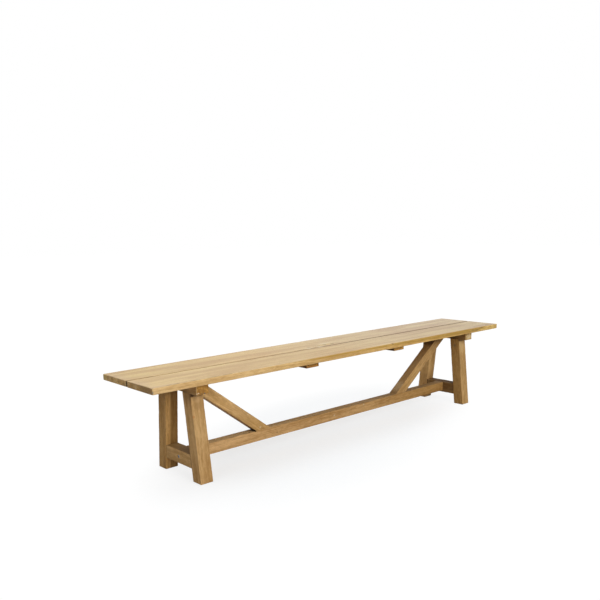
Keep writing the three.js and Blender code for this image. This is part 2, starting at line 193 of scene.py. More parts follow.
class Shader:
    """A material or a world under construction."""

    # A Mix node's inputs for the share and the two colours, and its output for the mixed colour
    mix_inputs = (0, 6, 7)
    mix_output = 2

    def __init__(self, owner: bpy.types.Material | bpy.types.World) -> None:
        """Starts from an empty tree.

        Args:
            owner: The material or the world.
        """
        owner.use_nodes = True
        self.owner = owner
        self.tree = owner.node_tree
        self.tree.nodes.clear()

    def node(self, kind: str, settings: dict | None = None, sockets: dict | None = None) -> bpy.types.Node:
        """Adds any node.

        Args:
            kind: The node's type, such as ShaderNodeMath.
            settings: The node's own settings, which are set first. "stops" gives a ramp's colours.
            sockets: Values or links by the input's name or number.

        Returns:
            The new node.
        """
        made = self.tree.nodes.new(kind)
        for name, value in (settings or {}).items():
            if name == "stops":
                self._stops(made.color_ramp, value)
            else:
                setattr(made, name, value)
        for name, value in (sockets or {}).items():
            self.feed(made.inputs[name], value)
        return made

    def _stops(self, ramp: bpy.types.ColorRamp, stops: Stops) -> None:
        """Gives a ramp its stops.

        Args:
            ramp: The ramp.
            stops: Places from 0 to 1 and their colours.
        """
        while len(ramp.elements) < len(stops):
            ramp.elements.new(1.0)
        for element, (place, colour) in zip(ramp.elements, stops):
            element.position = place
            element.color = (*colour, 1.0)

    def feed(self, socket: Socket, value: object) -> None:
        """Links an input to a signal or a socket, or sets its value.

        Args:
            socket: The input.
            value: A Signal, an output socket, a number, a vector or a linear colour.
        """
        if isinstance(value, Signal):
            self.tree.links.new(value.socket, socket)
        elif isinstance(value, Socket):
            self.tree.links.new(value, socket)
        elif socket.type == "RGBA":
            socket.default_value = (*value, 1.0)
        else:
            socket.default_value = value

    def math(self, operation: str, *values: Signal | float) -> Signal:
        """A sum, product or other operation on numbers."""
        made = self.node("ShaderNodeMath", {"operation": operation}, dict(enumerate(values)))
        return Signal(self, made.outputs[0])

    def vector(self, operation: str, *values: object) -> Socket:
        """An operation on vectors or colours, which gives a vector."""
        made = self.node("ShaderNodeVectorMath", {"operation": operation}, dict(enumerate(values)))
        return made.outputs["Vector"]

    def dot(self, first: object, second: object) -> Signal:
        """The scalar product of two vectors."""
        made = self.node("ShaderNodeVectorMath", {"operation": "DOT_PRODUCT"}, {0: first, 1: second})
        return Signal(self, made.outputs["Value"])

    def scale(self, colour: object, share: Signal) -> Socket:
        """A colour times a number."""
        made = self.node("ShaderNodeVectorMath", {"operation": "SCALE"}, {0: colour, "Scale": share})
        return made.outputs["Vector"]

    def split(self, vector: Socket) -> list[Signal]:
        """A vector's three numbers."""
        made = self.node("ShaderNodeSeparateXYZ", None, {0: vector})
        return [Signal(self, output) for output in made.outputs]

    def join(self, x: object, y: object, z: object) -> Socket:
        """A vector from three numbers."""
        return self.node("ShaderNodeCombineXYZ", None, {0: x, 1: y, 2: z}).outputs[0]

    def place(self) -> Socket:
        """The place on the surface, in the bench's metres."""
        return self.node("ShaderNodeTexCoord").outputs["Object"]

    def noise(self, vector: object, detail: float = 2.0, rough: float = 0.5) -> bpy.types.Node:
        """Smooth noise with one swell for each unit of the vector."""
        sockets = {"Vector": vector, "Scale": 1.0, "Detail": detail, "Roughness": rough}
        return self.node("ShaderNodeTexNoise", {"noise_dimensions": "3D"}, sockets)

    def swell(self, vector: object, detail: float = 2.0, rough: float = 0.5) -> Signal:
        """Smooth noise as a number from about 0.2 to 0.8."""
        return Signal(self, self.noise(vector, detail, rough).outputs["Fac"])

    def speckle(self, place: Socket, scale: Point, detail: float) -> Signal:
        """Smooth noise with so many swells to the metre along each axis."""
        return self.swell(self.vector("MULTIPLY", place, scale), detail)

    def blend(self, share: Signal | float, first: object, second: object) -> Socket:
        """Mixes two colours.

        Args:
            share: 0 for the first colour, 1 for the second.
            first: A colour or a colour socket.
            second: A colour or a colour socket.

        Returns:
            The mixed colour's socket.
        """
        made = self.node("ShaderNodeMix", {"data_type": "RGBA", "clamp_factor": True})
        for number, value in zip(self.mix_inputs, (share, first, second)):
            self.feed(made.inputs[number], value)
        return made.outputs[self.mix_output]

    def ramp(self, share: Signal, stops: Stops) -> Socket:
        """A colour that changes along a share from 0 to 1."""
        return self.node("ShaderNodeValToRGB", {"stops": stops}, {0: share}).outputs[0]

    def surface(self, colour: object, roughness: object, height: Signal | None = None, relief: float = 0.0,
                **constants: float) -> bpy.types.Material:
        """Ends the material with its surface.

        Args:
            colour: The base colour.
            roughness: The roughness.
            height: The relief as a share, or None for a plain surface.
            relief: The depth in metres that the share stands for.
            constants: Values of the surface's other sockets, with _ for spaces.

        Returns:
            The finished material.
        """
        sockets = {name.replace("_", " "): value for name, value in constants.items()}
        sockets |= {"Base Color": colour, "Roughness": roughness}
        made = self.node("ShaderNodeBsdfPrincipled", None, sockets)
        if height is not None:
            bump = self.node("ShaderNodeBump", None, {"Height": height, "Distance": relief, "Strength": 1.0})
            self.feed(made.inputs["Normal"], bump.outputs[0])
        self.node("ShaderNodeOutputMaterial", None, {"Surface": made.outputs[0]})
        return self.owner


# Wood


@dataclass(frozen=True)
class WoodTone:
    """The linear colours of one kind of timber, how strongly it mirrors and how strong its figure is."""

    pale: Colour
    warm: Colour
    late: Colour
    top_pale: Colour
    top_warm: Colour
    end: Colour
    pore: Colour
    # grime_and_shade: the dark colour of dirt, cracks and end checks, and also of painted shade
    grime_and_shade: Colour
    sheen: float
    figure: float


PLANK_TONE = WoodTone(
    pale=(0.715, 0.500, 0.225),
    warm=(0.555, 0.345, 0.125),
    late=(0.360, 0.195, 0.062),
    top_pale=(0.715, 0.598, 0.405),
    top_warm=(0.575, 0.442, 0.315),
    end=(0.500, 0.335, 0.150),
    pore=(0.180, 0.098, 0.038),
    grime_and_shade=(0.130, 0.080, 0.042),
    sheen=0.24,
    figure=1.0,
)

FRAME_TONE = WoodTone(
    pale=(0.610, 0.385, 0.170),
    warm=(0.405, 0.228, 0.080),
    late=(0.265, 0.135, 0.042),
    top_pale=(0.520, 0.360, 0.195),
    top_warm=(0.390, 0.250, 0.115),
    end=(0.580, 0.396, 0.174),
    pore=(0.140, 0.072, 0.028),
    grime_and_shade=(0.080, 0.042, 0.016),
    sheen=0.12,
    figure=0.72,
)


@dataclass(frozen=True)
class Weave:
    """Noise drawn out along the grain.

    A swell's length and width are in millimetres. The detail counts its finer octaves, and rough is how
    strong each of them is.
    """

    length: float
    width: float
    detail: float = 3.0
    rough: float = 0.55


FIBRE = Weave(70, 1.7, rough=0.6)
BLOTCH = Weave(260, 80, 2.0)
FIGURE = Weave(30, 9, rough=0.6)
STREAK = Weave(420, 17)
FINE_STREAK = Weave(130, 6)
TOP_BROAD = Weave(700, 38)
TOP_NARROW = Weave(380, 13)
END_MOTTLE = Weave(60, 9)
PORE = Weave(9, 0.55, 1.0)
DARK_FLECK = Weave(17, 5, 1.0)
PALE_FLECK = Weave(15, 4, 1.0)
RUBBED_EDGE = Weave(35, 9)
JOINT_DIRT = Weave(30, 8)
HEART_RIM = Weave(380, 30, 2.0)
KNOT_RIM = Weave(9, 4, 2.0)
PATCH_RIM = Weave(10, 5, 2.0)
CRACK_WANDER = Weave(50, 300)
CRACK_BREAKS = Weave(26, 200, 2.0)
BEVEL_RIM = Weave(120, 400, 2.0)
BEVEL_PATCHES = Weave(60, 6)
GAP_SHADE_CLOUD = Weave(40, 12)
UNDER_SHADE_CLOUD = Weave(30, 12)


class Mark:
    """Something on a timber that changes its wood: marks of the wood itself, and painted shade."""

    def pull(self, wood: "Wood") -> Signal | None:
        """How strongly the mark bends the growth rings, or None."""
        return None

    def paint(self, wood: "Wood", colour: Socket) -> Socket:
        """Puts the mark on the wood's colour."""
        raise NotImplementedError


@dataclass(frozen=True)
class Knot(Mark):
    """A knot that runs straight into a timber, with the rings drawn round it.

    The place is in the bench's millimetres. The knot dies away over the length given.
    """

    place: Point
    runs: Runs
    radius: float
    stretch: float = 1.8
    dark: float = 0.8
    length: float = 400.0

    # Where the swollen rings, the warm halo and the dark core start and where they are full, in radii
    swollen = (4.0, 0.6)
    halo = (2.2, 0.9)
    core = (1.0, 0.35)
    halo_share = 0.55
    ragged = 1.2

    # The share of its length over which the knot keeps its full strength
    full_share = 0.4

    def away(self, wood: "Wood") -> Signal:
        """Works out the distance from the knot's line.

        Args:
            wood: The timber's wood.

        Returns:
            The distance as a share of the knot's radius.
        """
        along, across, deep = wood.own(self.place)
        run = (wood.along - along) / self.stretch
        step = wood.deep - deep if self.runs is Runs.ACROSS else wood.across - across
        return (run * run + step * step).root() / self.radius

    def fade(self, wood: "Wood") -> Signal:
        """Works out how the knot dies away inside the timber.

        Args:
            wood: The timber's wood.

        Returns:
            1 at the knot's face of the timber, and 0 at the far end of its length.
        """
        _, across, deep = wood.own(self.place)
        gone = abs(wood.across - across) if self.runs is Runs.ACROSS else abs(wood.deep - deep)
        return gone.rise(self.length, self.full_share * self.length)

    def pull(self, wood: "Wood") -> Signal:
        """The rings swell round the knot."""
        return self.away(wood).rise(*self.swollen) * self.fade(wood)

    def paint(self, wood: "Wood", colour: Socket) -> Socket:
        """Paints a dark core inside a warm halo.

        Args:
            wood: The timber's wood.
            colour: Its colour so far.

        Returns:
            The colour with the knot.
        """
        away = self.away(wood) + wood.lines(KNOT_RIM).swing(self.ragged)
        dark = self.fade(wood) * self.dark
        colour = wood.shader.blend(away.rise(*self.halo) * dark * self.halo_share, colour, wood.tone.late)
        return wood.shader.blend(away.rise(*self.core) * dark, colour, wood.tone.pore)


@dataclass(frozen=True)
class Smudge(Mark):
    """A patch of another colour with a ragged rim: most are spots of the wood, and some dark ones are painted
    shade.

    The place is in the bench's millimetres, and the radii are along, across and deep in the timber.
    """

    place: Point
    radii: Point
    colour: Colour
    amount: float = 0.7
    direction: Point | None = None

    rim = (1.15, 0.45)
    ragged = 0.9

    def paint(self, wood: "Wood", colour: Socket) -> Socket:
        """Blends the patch in, strongest in its middle, on all faces or on those that look one way.

        Args:
            wood: The timber's wood.
            colour: Its colour so far.

        Returns:
            The colour with the patch.
        """
        shader = wood.shader
        step = shader.vector("SUBTRACT", wood.local, wood.own(self.place))
        reach = shader.vector("MULTIPLY", step, tuple(1 / radius for radius in self.radii))
        away = shader.dot(reach, reach).root() + wood.lines(PATCH_RIM).swing(self.ragged)
        share = wood.only(away.rise(*self.rim) * self.amount, self.direction)
        return shader.blend(share, colour, self.colour)


@dataclass(frozen=True)
class Crack(Mark):
    """A thin dark crack along the upper face, between two places in the bench's millimetres."""

    start: Point
    stop: Point
    width: float
    amount: float = 0.75

    wander = 9.0
    tip = 14
    whole = (0.36, 0.52)
    sharpness = 0.3
    upper_rim = (0.3, 0.8)

    def paint(self, wood: "Wood", colour: Socket) -> Socket:
        """Draws the crack, which wanders, thins out at its ends and breaks off here and there.

        Args:
            wood: The timber's wood.
            colour: Its colour so far.

        Returns:
            The colour with the crack.
        """
        first, last = wood.own(self.start), wood.own(self.stop)
        low, high = min(first[0], last[0]), max(first[0], last[0])
        slope = (last[1] - first[1]) / (last[0] - first[0])
        line = (wood.along - first[0]) * slope + first[1]
        off = abs(wood.across - line + wood.lines(CRACK_WANDER).swing(self.wander))
        run = wood.along.rise(low, low + self.tip) * wood.along.rise(high, high - self.tip)
        whole = wood.lines(CRACK_BREAKS).rise(*self.whole)
        share = off.rise(self.width, self.sharpness * self.width) * run * whole
        share = share * wood.facing(UPWARD).rise(*self.upper_rim)
        return wood.shader.blend(share * self.amount, colour, wood.tone.grime_and_shade)


@dataclass(frozen=True)
class DressedEdge(Mark):
    """A low bevel along a timber's upper front edge, which was dressed by hand and shows golden wood.

    Each step is (from, to, rise) in millimetres: between two places along the timber, the bevel gains height.
    """

    steps: tuple[Point, ...]
    colour: Colour
    amount: float = 0.85

    ragged = 7.0
    soft = 1.5
    front_rim = (0.35, 0.75)
    patchiness = 1.4
    least = 0.75

    def heights(self, where: np.ndarray) -> np.ndarray:
        """The bevel's height in millimetres, as a sum of smooth steps rise * s^2 * (3 - 2 * s).

        Args:
            where: Places along the timber in millimetres.

        Returns:
            The height at each place.
        """
        total = np.zeros_like(where)
        for low, high, rise in self.steps:
            share = np.clip((where - low) / (high - low), 0, 1)
            total += rise * share * share * (3 - 2 * share)
        return total

    def paint(self, wood: "Wood", colour: Socket) -> Socket:
        """Colours the front face down to the bevel's height, which wanders a little.

        Args:
            wood: The timber's wood.
            colour: Its colour so far.

        Returns:
            The colour with the bevel.
        """
        height = wood.lines(BEVEL_RIM).swing(self.ragged)
        for low, high, rise in self.steps:
            height = height + wood.along.rise(low, high) * rise
        below_top = wood.timber.depth / 2 / MM - wood.deep
        facing = wood.facing(-wood.timber.across).rise(*self.front_rim)
        share = (height - below_top).rise(-self.soft, self.soft) * facing
        patchy = self.least + wood.lines(BEVEL_PATCHES).swing(self.patchiness)
        return wood.shader.blend(share * patchy * self.amount, colour, self.colour)


@dataclass(frozen=True)
class GapShade(Mark):
    """Painted shade on the faces that look one way, such as a plank's face inside the gap."""

    direction: Point
    amount: float = 0.6

    rim = (0.05, 0.55)
    # How strong the painted shade is, and how cloudy
    thickness = 0.8
    cloudiness = 1.2

    def paint(self, wood: "Wood", colour: Socket) -> Socket:
        """Paints shade that darkens the faces, with a cloudy rim.

        Args:
            wood: The timber's wood.
            colour: Its colour so far.

        Returns:
            The colour with the dirt.
        """
        share = wood.facing(self.direction).rise(*self.rim)
        cloud = self.thickness + wood.lines(GAP_SHADE_CLOUD).swing(self.cloudiness)
        return wood.shader.blend(share * cloud * self.amount, colour, wood.tone.grime_and_shade)


@dataclass(frozen=True)
class SideShade(Mark):
    """Painted shade on the faces that look one way: a darker tint that multiplies their colour where a side
    lies in shade.
    """

    direction: Point
    tint: Colour

    rim = (0.55, 0.85)

    def paint(self, wood: "Wood", colour: Socket) -> Socket:
        """Multiplies the faces' colour."""
        share = wood.facing(self.direction).rise(*self.rim)
        return wood.shader.blend(share, colour, wood.shader.vector("MULTIPLY", colour, self.tint))


@dataclass(frozen=True)
class Seam(Mark):
    """Painted shade below a level face of another piece, down to a reach, in the bench's millimetres."""

    height: float
    reach: float
    amount: float
    direction: Point | None = None

    cloudiness = 0.9

    def paint(self, wood: "Wood", colour: Socket) -> Socket:
        """Darkens the wood upwards with painted shade, with a cloudy rim, on all faces or on those that look
        one way.

        Args:
            wood: The timber's wood.
            colour: Its colour so far.

        Returns:
            The colour with the dirt.
        """
        _, _, height = wood.shader.split(wood.place)
        share = wood.only((height / MM).rise(self.height - self.reach, self.height), self.direction)
        cloud = 1.0 + wood.lines(UNDER_SHADE_CLOUD).swing(self.cloudiness)
        return wood.shader.blend(share * cloud * self.amount, colour, wood.tone.grime_and_shade)


@dataclass(frozen=True)
class Heart:
    """The border between a timber's dark heartwood and its paler wood: a line across the section.

    The turn is measured from the width's direction towards the depth's and points to the pale side, and the
    edge is the border's distance from the timber's middle. The heartwood's colour is multiplied by dark.
    """

    turn: float
    edge: float
    soft: float
    dark: Colour


@dataclass(frozen=True)
class Grain:
    """How the rings and fibres lie in one timber, with lengths in millimetres.

    The pith is where the rings' middle passes the timber's middle section, across its width and its depth,
    and the lean is how far the pith drifts sideways for each unit along the timber. The tint multiplies all
    of the timber's colours, tints multiply them along its length, and top_tints those of its upper face.
    """

    seed: int
    pith: tuple[float, float]
    lean: tuple[float, float] = (0.0, 0.0)
    ring: float = 4.2
    wave: float = 8.0
    streak: float = 1.0
    tint: Colour = WHITE
    end_tint: Colour = WHITE
    tints: Stops = ()
    top_tints: Stops = ()
    heart: Heart | None = None
    marks: tuple[Mark, ...] = ()


class Wood:
    """The wood of one timber under construction, in the timber's own axes and in millimetres.

    Fibres, streaks and pores are noise drawn out along the grain, so that they show as lines on the faces and
    as dots on the ends. Slow noise sways them a little, as grain sways in a real board.
    """

    sway_length = 260.0
    sway_width = 70.0
    face_rim = (0.3, 0.7)

    # Growth rings: their swelling at a knot, how many share a band of colour, the band's length, how far the
    # rings wander in it, and where the late wood starts and ends within a ring
    knot_pull = 2.6
    band_rings = 3.1
    band_length = 900
    ring_wander = 2.2
    late_start = (0.25, 0.88)
    late_end = (1.0, 0.9)
    band_rim = (0.34, 0.66)

    # Checks along the rays: swells to the radian, their length and how rare they are. The seed's remainders
    # move the bands and the rays of one timber away from the next one's.
    ray_turns = 11
    ray_length = 55
    check_rim = (0.66, 0.72)
    band_span, ray_span = 97, 53

    # How far each layer's noise swings the colour from pale to warm, on the sides and on the upper faces
    streak_swing, blotch_swing, fine_swing, figure_swing = 1.7, 1.2, 1.2, 1.5
    broad_swing, narrow_swing, cloud_swing = 3.2, 2.0, 1.4

    # How strongly each layer shows on the sides, on the upper faces and on the ends
    side_bands, side_warmth = 0.30, 0.34
    side_rings, side_streaks, side_fibres = 0.34, 0.22, 0.30
    top_warmth, top_rings, top_fibres = 0.5, 0.16, 0.26
    end_mottle, end_pale, end_bands, end_rings, end_checks = 0.62, 0.70, 0.55, 0.52, 0.75
    pore_share, dark_flecks, pale_flecks = 0.35, 0.50, 0.45
    pale_arris, dark_arris = 0.34, 0.30

    # Millimetres from an edge or a joint: where its wear or dirt starts, and where it is full
    arris_rim = (3.2, 0.4)
    joint_rim = (-7.0, -0.5)
    joint_dirt = 0.62
    heart_wander = 16.0

    roughness = 0.68
    relief = 0.35 * MM

    def __init__(self, tone: WoodTone, timber: "Timber") -> None:
        """Sets up the timber's coordinates.

        Args:
            tone: The colours.
            timber: The piece, whose place and grain the pattern follows.
        """
        self.tone = tone
        self.timber = timber
        self.shader = shader = Shader(bpy.data.materials.new(f"{timber.node}_wood"))
        self.place = shader.place()
        self.normal = shader.node("ShaderNodeNewGeometry").outputs["Normal"]
        sockets = {"Vector": self.place, "Location": timber.centre, "Rotation": timber.axes().to_euler()}
        sockets["Scale"] = (MM, MM, MM)
        self.local = shader.node("ShaderNodeMapping", {"vector_type": "TEXTURE"}, sockets).outputs[0]
        self.along, self.across, self.deep = shader.split(self.local)
        drift = np.random.default_rng(timber.grain.seed).uniform(500, 9000, 3)
        moved = shader.vector("ADD", self.local, tuple(float(step) for step in drift))
        slow = (1 / self.sway_length, 1 / self.sway_width, 1 / self.sway_width)
        wander = shader.noise(shader.vector("MULTIPLY", moved, slow)).outputs["Color"]
        swing = 2 * timber.grain.wave
        centred = shader.vector("SUBTRACT", wander, (0.5, 0.5, 0.5))
        self.sway = shader.vector("MULTIPLY", centred, (0.0, swing, swing))
        self.moved = shader.vector("ADD", moved, self.sway)

    def lines(self, weave: Weave) -> Signal:
        """Makes noise drawn out along the grain.

        Args:
            weave: The noise's lengths and octaves.

        Returns:
            A signal from about 0.2 to 0.8.
        """
        stretch = (1 / weave.length, 1 / weave.width, 1 / weave.width)
        stretched = self.shader.vector("MULTIPLY", self.moved, stretch)
        return self.shader.swell(stretched, weave.detail, weave.rough)

    def own(self, place: Point) -> Point:
        """A place in the bench's millimetres, in the timber's own axes."""
        step = Vector(place) - Vector(self.timber.centre) / MM
        return tuple(step.dot(axis) for axis in (self.timber.along, self.timber.across, self.timber.deep))

    def facing(self, direction: Sequence[float]) -> Signal:
        """How squarely the surface faces a direction: 1 straight at it and -1 away from it."""
        return self.shader.dot(self.normal, tuple(Vector(direction).normalized()))

    def only(self, share: Signal, direction: Point | None) -> Signal:
        """A share kept to the faces that look one way, or left as it is without a direction."""
        return share if direction is None else share * self.facing(direction).rise(*self.face_rim)

    def _rings(self) -> None:
        """Works out the growth rings.

        Rings are shells round the pith's line. The distance from it, swayed by slow noise and swollen round
        the knots, is divided by the ring's width, and each whole number is one year's dark line.
        """
        shader, grain = self.shader, self.timber.grain
        _, sway, heave = shader.split(self.sway)
        side = self.across + sway - grain.pith[0] - self.along * grain.lean[0]
        back = self.deep + heave - grain.pith[1] - self.along * grain.lean[1]
        radius = (side * side + back * back).root()
        angle = shader.math("ARCTAN2", side, back)
        for mark in grain.marks:
            pull = mark.pull(self)
            if pull is not None:
                radius = radius + pull * (self.knot_pull * grain.ring)
        band = float(grain.seed % self.band_span)
        place = shader.join(radius / (self.band_rings * grain.ring), self.along / self.band_length, band)
        years = shader.swell(place, 2.0, 0.6)
        phase = (radius / grain.ring + years * self.ring_wander).fraction()
        self.line = phase.rise(*self.late_start) * phase.rise(*self.late_end)
        self.bands = years.rise(*self.band_rim)
        ray = float(grain.seed % self.ray_span)
        spokes = shader.swell(shader.join(angle * self.ray_turns, radius / self.ray_length, ray), 1.0)
        self.checks = spokes.rise(*self.check_rim)

    def _faces(self) -> Socket:
        """Colours the sides with broad bands, streaks, rings and fibres.

        Returns:
            The sides' colour.
        """
        shader, tone = self.shader, self.tone
        gain = self.timber.grain.streak * tone.figure
        self.fibre = self.lines(FIBRE)
        self.blotch = self.lines(BLOTCH)
        self.figure = self.lines(FIGURE)
        streak = self.lines(STREAK)
        fine = self.lines(FINE_STREAK)
        warmth = self.bands * self.side_bands + streak.swing(self.streak_swing * gain)
        warmth = warmth + self.blotch.swing(self.blotch_swing) + fine.swing(self.fine_swing * gain)
        warmth = warmth + self.figure.swing(self.figure_swing * gain) + self.side_warmth
        colour = shader.blend(warmth.rise(0.0, 1.0), tone.pale, tone.warm)
        rings = self.line * self.figure.rise(0.30, 0.65) * (self.side_rings * gain)
        colour = shader.blend(rings, colour, tone.late)
        colour = shader.blend(fine.rise(0.56, 0.74) * (self.side_streaks * gain), colour, tone.late)
        return shader.blend(self.fibre.rise(0.50, 0.80) * (self.side_fibres * tone.figure), colour, tone.late)

    def _tops(self, colour: Socket) -> Socket:
        """Colours the upper faces, which sun and rain have turned paler and greyer, with wide soft streaks.

        Args:
            colour: The sides' colour.

        Returns:
            The colour with the upper faces.
        """
        shader, tone, grain = self.shader, self.tone, self.timber.grain
        broad = self.lines(TOP_BROAD)
        narrow = self.lines(TOP_NARROW)
        warmth = self.top_warmth + broad.swing(self.broad_swing * grain.streak)
        warmth = warmth + narrow.swing(self.narrow_swing) + self.blotch.swing(self.cloud_swing)
        worn = shader.blend(warmth.rise(0.0, 1.0), tone.top_pale, tone.top_warm)
        worn = shader.blend(self.line * self.top_rings, worn, tone.warm)
        worn = shader.blend(self.fibre.rise(0.52, 0.80) * self.top_fibres, worn, tone.late)
        if grain.top_tints:
            worn = self._tinted(worn, grain.top_tints)
        up = self.facing(UPWARD).rise(0.50, 0.95)
        return shader.blend(up * (0.90 + self.fibre.swing(0.5)), colour, worn)

    def _tinted(self, colour: Socket, stops: Stops) -> Socket:
        """A colour multiplied by tints along the timber's length."""
        share = self.along / (self.timber.length / MM) + 0.5
        return self.shader.vector("MULTIPLY", colour, self.shader.ramp(share, stops))

    def _ends(self, colour: Socket) -> Socket:
        """Colours the end grain: darker and mottled, with rings and a few checks.

        Args:
            colour: The colour so far.

        Returns:
            The colour with the ends.
        """
        shader, tone, grain = self.shader, self.tone, self.timber.grain
        ends = abs(self.facing(self.timber.along)).rise(0.60, 0.92)
        mottle = self.lines(END_MOTTLE)
        cut = shader.blend(mottle.rise(0.36, 0.64) * self.end_mottle, tone.end, tone.late)
        cut = shader.blend((1 - self.bands) * mottle.rise(0.60, 0.42) * self.end_pale, cut, tone.pale)
        cut = shader.blend(self.bands * self.end_bands, cut, tone.late)
        cut = shader.vector("MULTIPLY", cut, grain.end_tint)
        cut = shader.blend(self.line * self.end_rings, cut, tone.late)
        cut = shader.blend(self.checks * self.end_checks, cut, tone.grime_and_shade)
        return shader.blend(ends * 0.95, colour, cut)

    def _wear(self, colour: Socket) -> Socket:
        """Adds pores, flecks, rubbed edges, and the dirt that gathers in the joints.

        Args:
            colour: The colour so far.

        Returns:
            The worn colour.
        """
        shader, tone, timber = self.shader, self.tone, self.timber
        self.pores = self.lines(PORE).rise(0.62, 0.72)
        dark, pale = self.lines(DARK_FLECK).rise(0.66, 0.78), self.lines(PALE_FLECK).rise(0.34, 0.24)
        colour = shader.blend(self.pores * self.pore_share, colour, tone.pore)
        colour = shader.blend(dark * (self.dark_flecks * tone.figure), colour, tone.late)
        colour = shader.blend(pale * (self.pale_flecks * tone.figure), colour, tone.pale)
        wide = timber.width / 2 / MM - abs(self.across)
        thick = timber.depth / 2 / MM - abs(self.deep)
        arris = wide.at_least(thick).rise(*self.arris_rim)
        rubbed = self.lines(RUBBED_EDGE).rise(0.36, 0.66)
        colour = shader.blend(arris * rubbed * self.pale_arris, colour, tone.pale)
        colour = shader.blend(arris * (1 - rubbed) * self.dark_arris, colour, tone.late)
        for cut in (timber.low, timber.high):
            for point, normal in cut.planes if cut.jointed else ():
                level = shader.dot(self.place, normal) - float(Vector(point).dot(Vector(normal)))
                near = (level / MM).rise(*self.joint_rim)
                cloud = self.joint_dirt + self.lines(JOINT_DIRT).swing(0.9)
                colour = shader.blend(near * cloud, colour, tone.grime_and_shade)
        return colour

    def _heartwood(self, colour: Socket) -> Socket:
        """Darkens the heartwood's side of its border.

        Args:
            colour: The colour so far.

        Returns:
            The colour with the heartwood.
        """
        heart = self.timber.grain.heart
        if heart is None:
            return colour
        shader = self.shader
        level = self.across * math.cos(heart.turn) + self.deep * math.sin(heart.turn)
        wander = self.lines(HEART_RIM).swing(self.heart_wander)
        dark = (level + wander).rise(heart.edge + heart.soft / 2, heart.edge - heart.soft / 2)
        return shader.blend(dark, colour, shader.vector("MULTIPLY", colour, heart.dark))

    def finish(self) -> bpy.types.Material:
        """Puts the layers together.

        Returns:
            The timber's material.
        """
        shader, grain = self.shader, self.timber.grain
        self._rings()
        colour = self._tops(self._tinted(self._faces(), grain.tints) if grain.tints else self._faces())
        colour = shader.vector("MULTIPLY", self._heartwood(colour), grain.tint)
        colour = self._wear(self._ends(colour))
        for mark in grain.marks:
            colour = mark.paint(self, colour)
        roughness = self.roughness + self.fibre.swing(0.18) - self.line * 0.05
        height = self.fibre * 0.45 - self.pores * 0.5 - self.line * 0.25 - self.checks * 0.3
        return shader.surface(colour, roughness, height, self.relief, Specular_IOR_Level=self.tone.sheen)


@dataclass(frozen=True)
class WoodFinish:
    """Bare timber of one tone, for one of the record's slots."""

    tone: WoodTone
    slot: Slot

    def material(self, timber: "Timber") -> bpy.types.Material:
        """Makes the wood of one timber."""
        return Wood(self.tone, timber).finish()


@dataclass(frozen=True)
class SteelFinish:
    """Zinc-plated steel, with a cloudy sheen. Patterns are in swells to the metre."""

    bright: Colour = (0.330, 0.355, 0.385)
    dull: Colour = (0.215, 0.232, 0.255)
    clouds: Point = (400.0, 400.0, 400.0)
    brushing: Point = (2500.0, 2500.0, 900.0)
    roughness: float = 0.36
    relief: float = 0.02 * MM
    metal: float = 0.9

    def material(self) -> bpy.types.Material:
        """Makes the plated steel.

        Returns:
            The material.
        """
        shader = Shader(bpy.data.materials.new("plated_steel"))
        place = shader.place()
        cloud = shader.speckle(place, self.clouds, 3.0)
        fine = shader.speckle(place, self.brushing, 2.0)
        colour = shader.blend(cloud.rise(0.3, 0.7), self.bright, self.dull)
        roughness = self.roughness + cloud.swing(0.25)
        return shader.surface(colour, roughness, fine, self.relief, Metallic=self.metal)


@dataclass(frozen=True)
class PlugFinish:
    """Pale end grain of a wooden plug. Patterns are in swells to the metre."""

    pale: Colour = (0.620, 0.450, 0.240)
    dark: Colour = (0.420, 0.270, 0.120)
    pores: Point = (1500.0, 300.0, 1500.0)
    years: Point = (90.0, 20.0, 520.0)
    roughness: float = 0.75
    relief: float = 0.1 * MM

    def material(self) -> bpy.types.Material:
        """Makes the plug's end grain: dots of pores between faint rings.

        Returns:
            The material.
        """
        shader = Shader(bpy.data.materials.new("plug_end_grain"))
        place = shader.place()
        dots = shader.speckle(place, self.pores, 2.0)
        rings = shader.speckle(place, self.years, 2.0)
        colour = shader.blend(dots.rise(0.5, 0.75) * 0.5 + rings.rise(0.4, 0.7) * 0.3, self.pale, self.dark)
        return shader.surface(colour, self.roughness + dots.swing(0.2), dots, self.relief)


@dataclass(frozen=True)
class GlideFinish:
    """Black moulded plastic, scuffed where it slides. Patterns are in swells to the metre."""

    black: Colour = (0.012, 0.012, 0.011)
    scuffed: Colour = (0.045, 0.043, 0.040)
    speckles: Point = (1800.0, 1800.0, 1800.0)
    scuffs: Point = (160.0, 700.0, 400.0)
    roughness: float = 0.55
    relief: float = 0.05 * MM

    def material(self) -> bpy.types.Material:
        """Makes the black plastic.

        Returns:
            The material.
        """
        shader = Shader(bpy.data.materials.new("black_plastic"))
        place = shader.place()
        speckle = shader.speckle(place, self.speckles, 3.0)
        scuff = shader.speckle(place, self.scuffs, 3.0)
        colour = shader.blend(scuff.rise(0.55, 0.75) * 0.6, self.black, self.scuffed)
        return shader.surface(colour, self.roughness + speckle.swing(0.3), speckle, self.relief)


# Surfaces


class Waver:
    """A smooth wandering value along a line, from about -1 to 1.

    It is the sum of height * sin(2 * pi * x / length + phase), with seeded phases. Each wave is shorter and
    lower than the one before.
    """

    shorter = 0.61
    lower = 0.62
    spread = (0.85, 1.15)

    def __init__(self, seed: int, longest: float, waves: int = 5) -> None:
        """Draws the waves.

        Args:
            seed: Fixes the phases.
            longest: The longest wave's length.
            waves: How many waves are summed.
        """
        random = np.random.default_rng(seed)
        order = np.arange(waves)
        self.lengths = longest * self.shorter**order * random.uniform(*self.spread, waves)
        self.heights = self.lower**order
        self.heights /= self.heights.sum()
        self.phases = random.uniform(0, 2 * math.pi, waves)

    def __call__(self, where: np.ndarray) -> np.ndarray:
        """The value at each place."""
        turns = np.asarray(where)[..., None] / self.lengths
        return (np.sin(2 * math.pi * turns + self.phases) * self.heights).sum(-1)


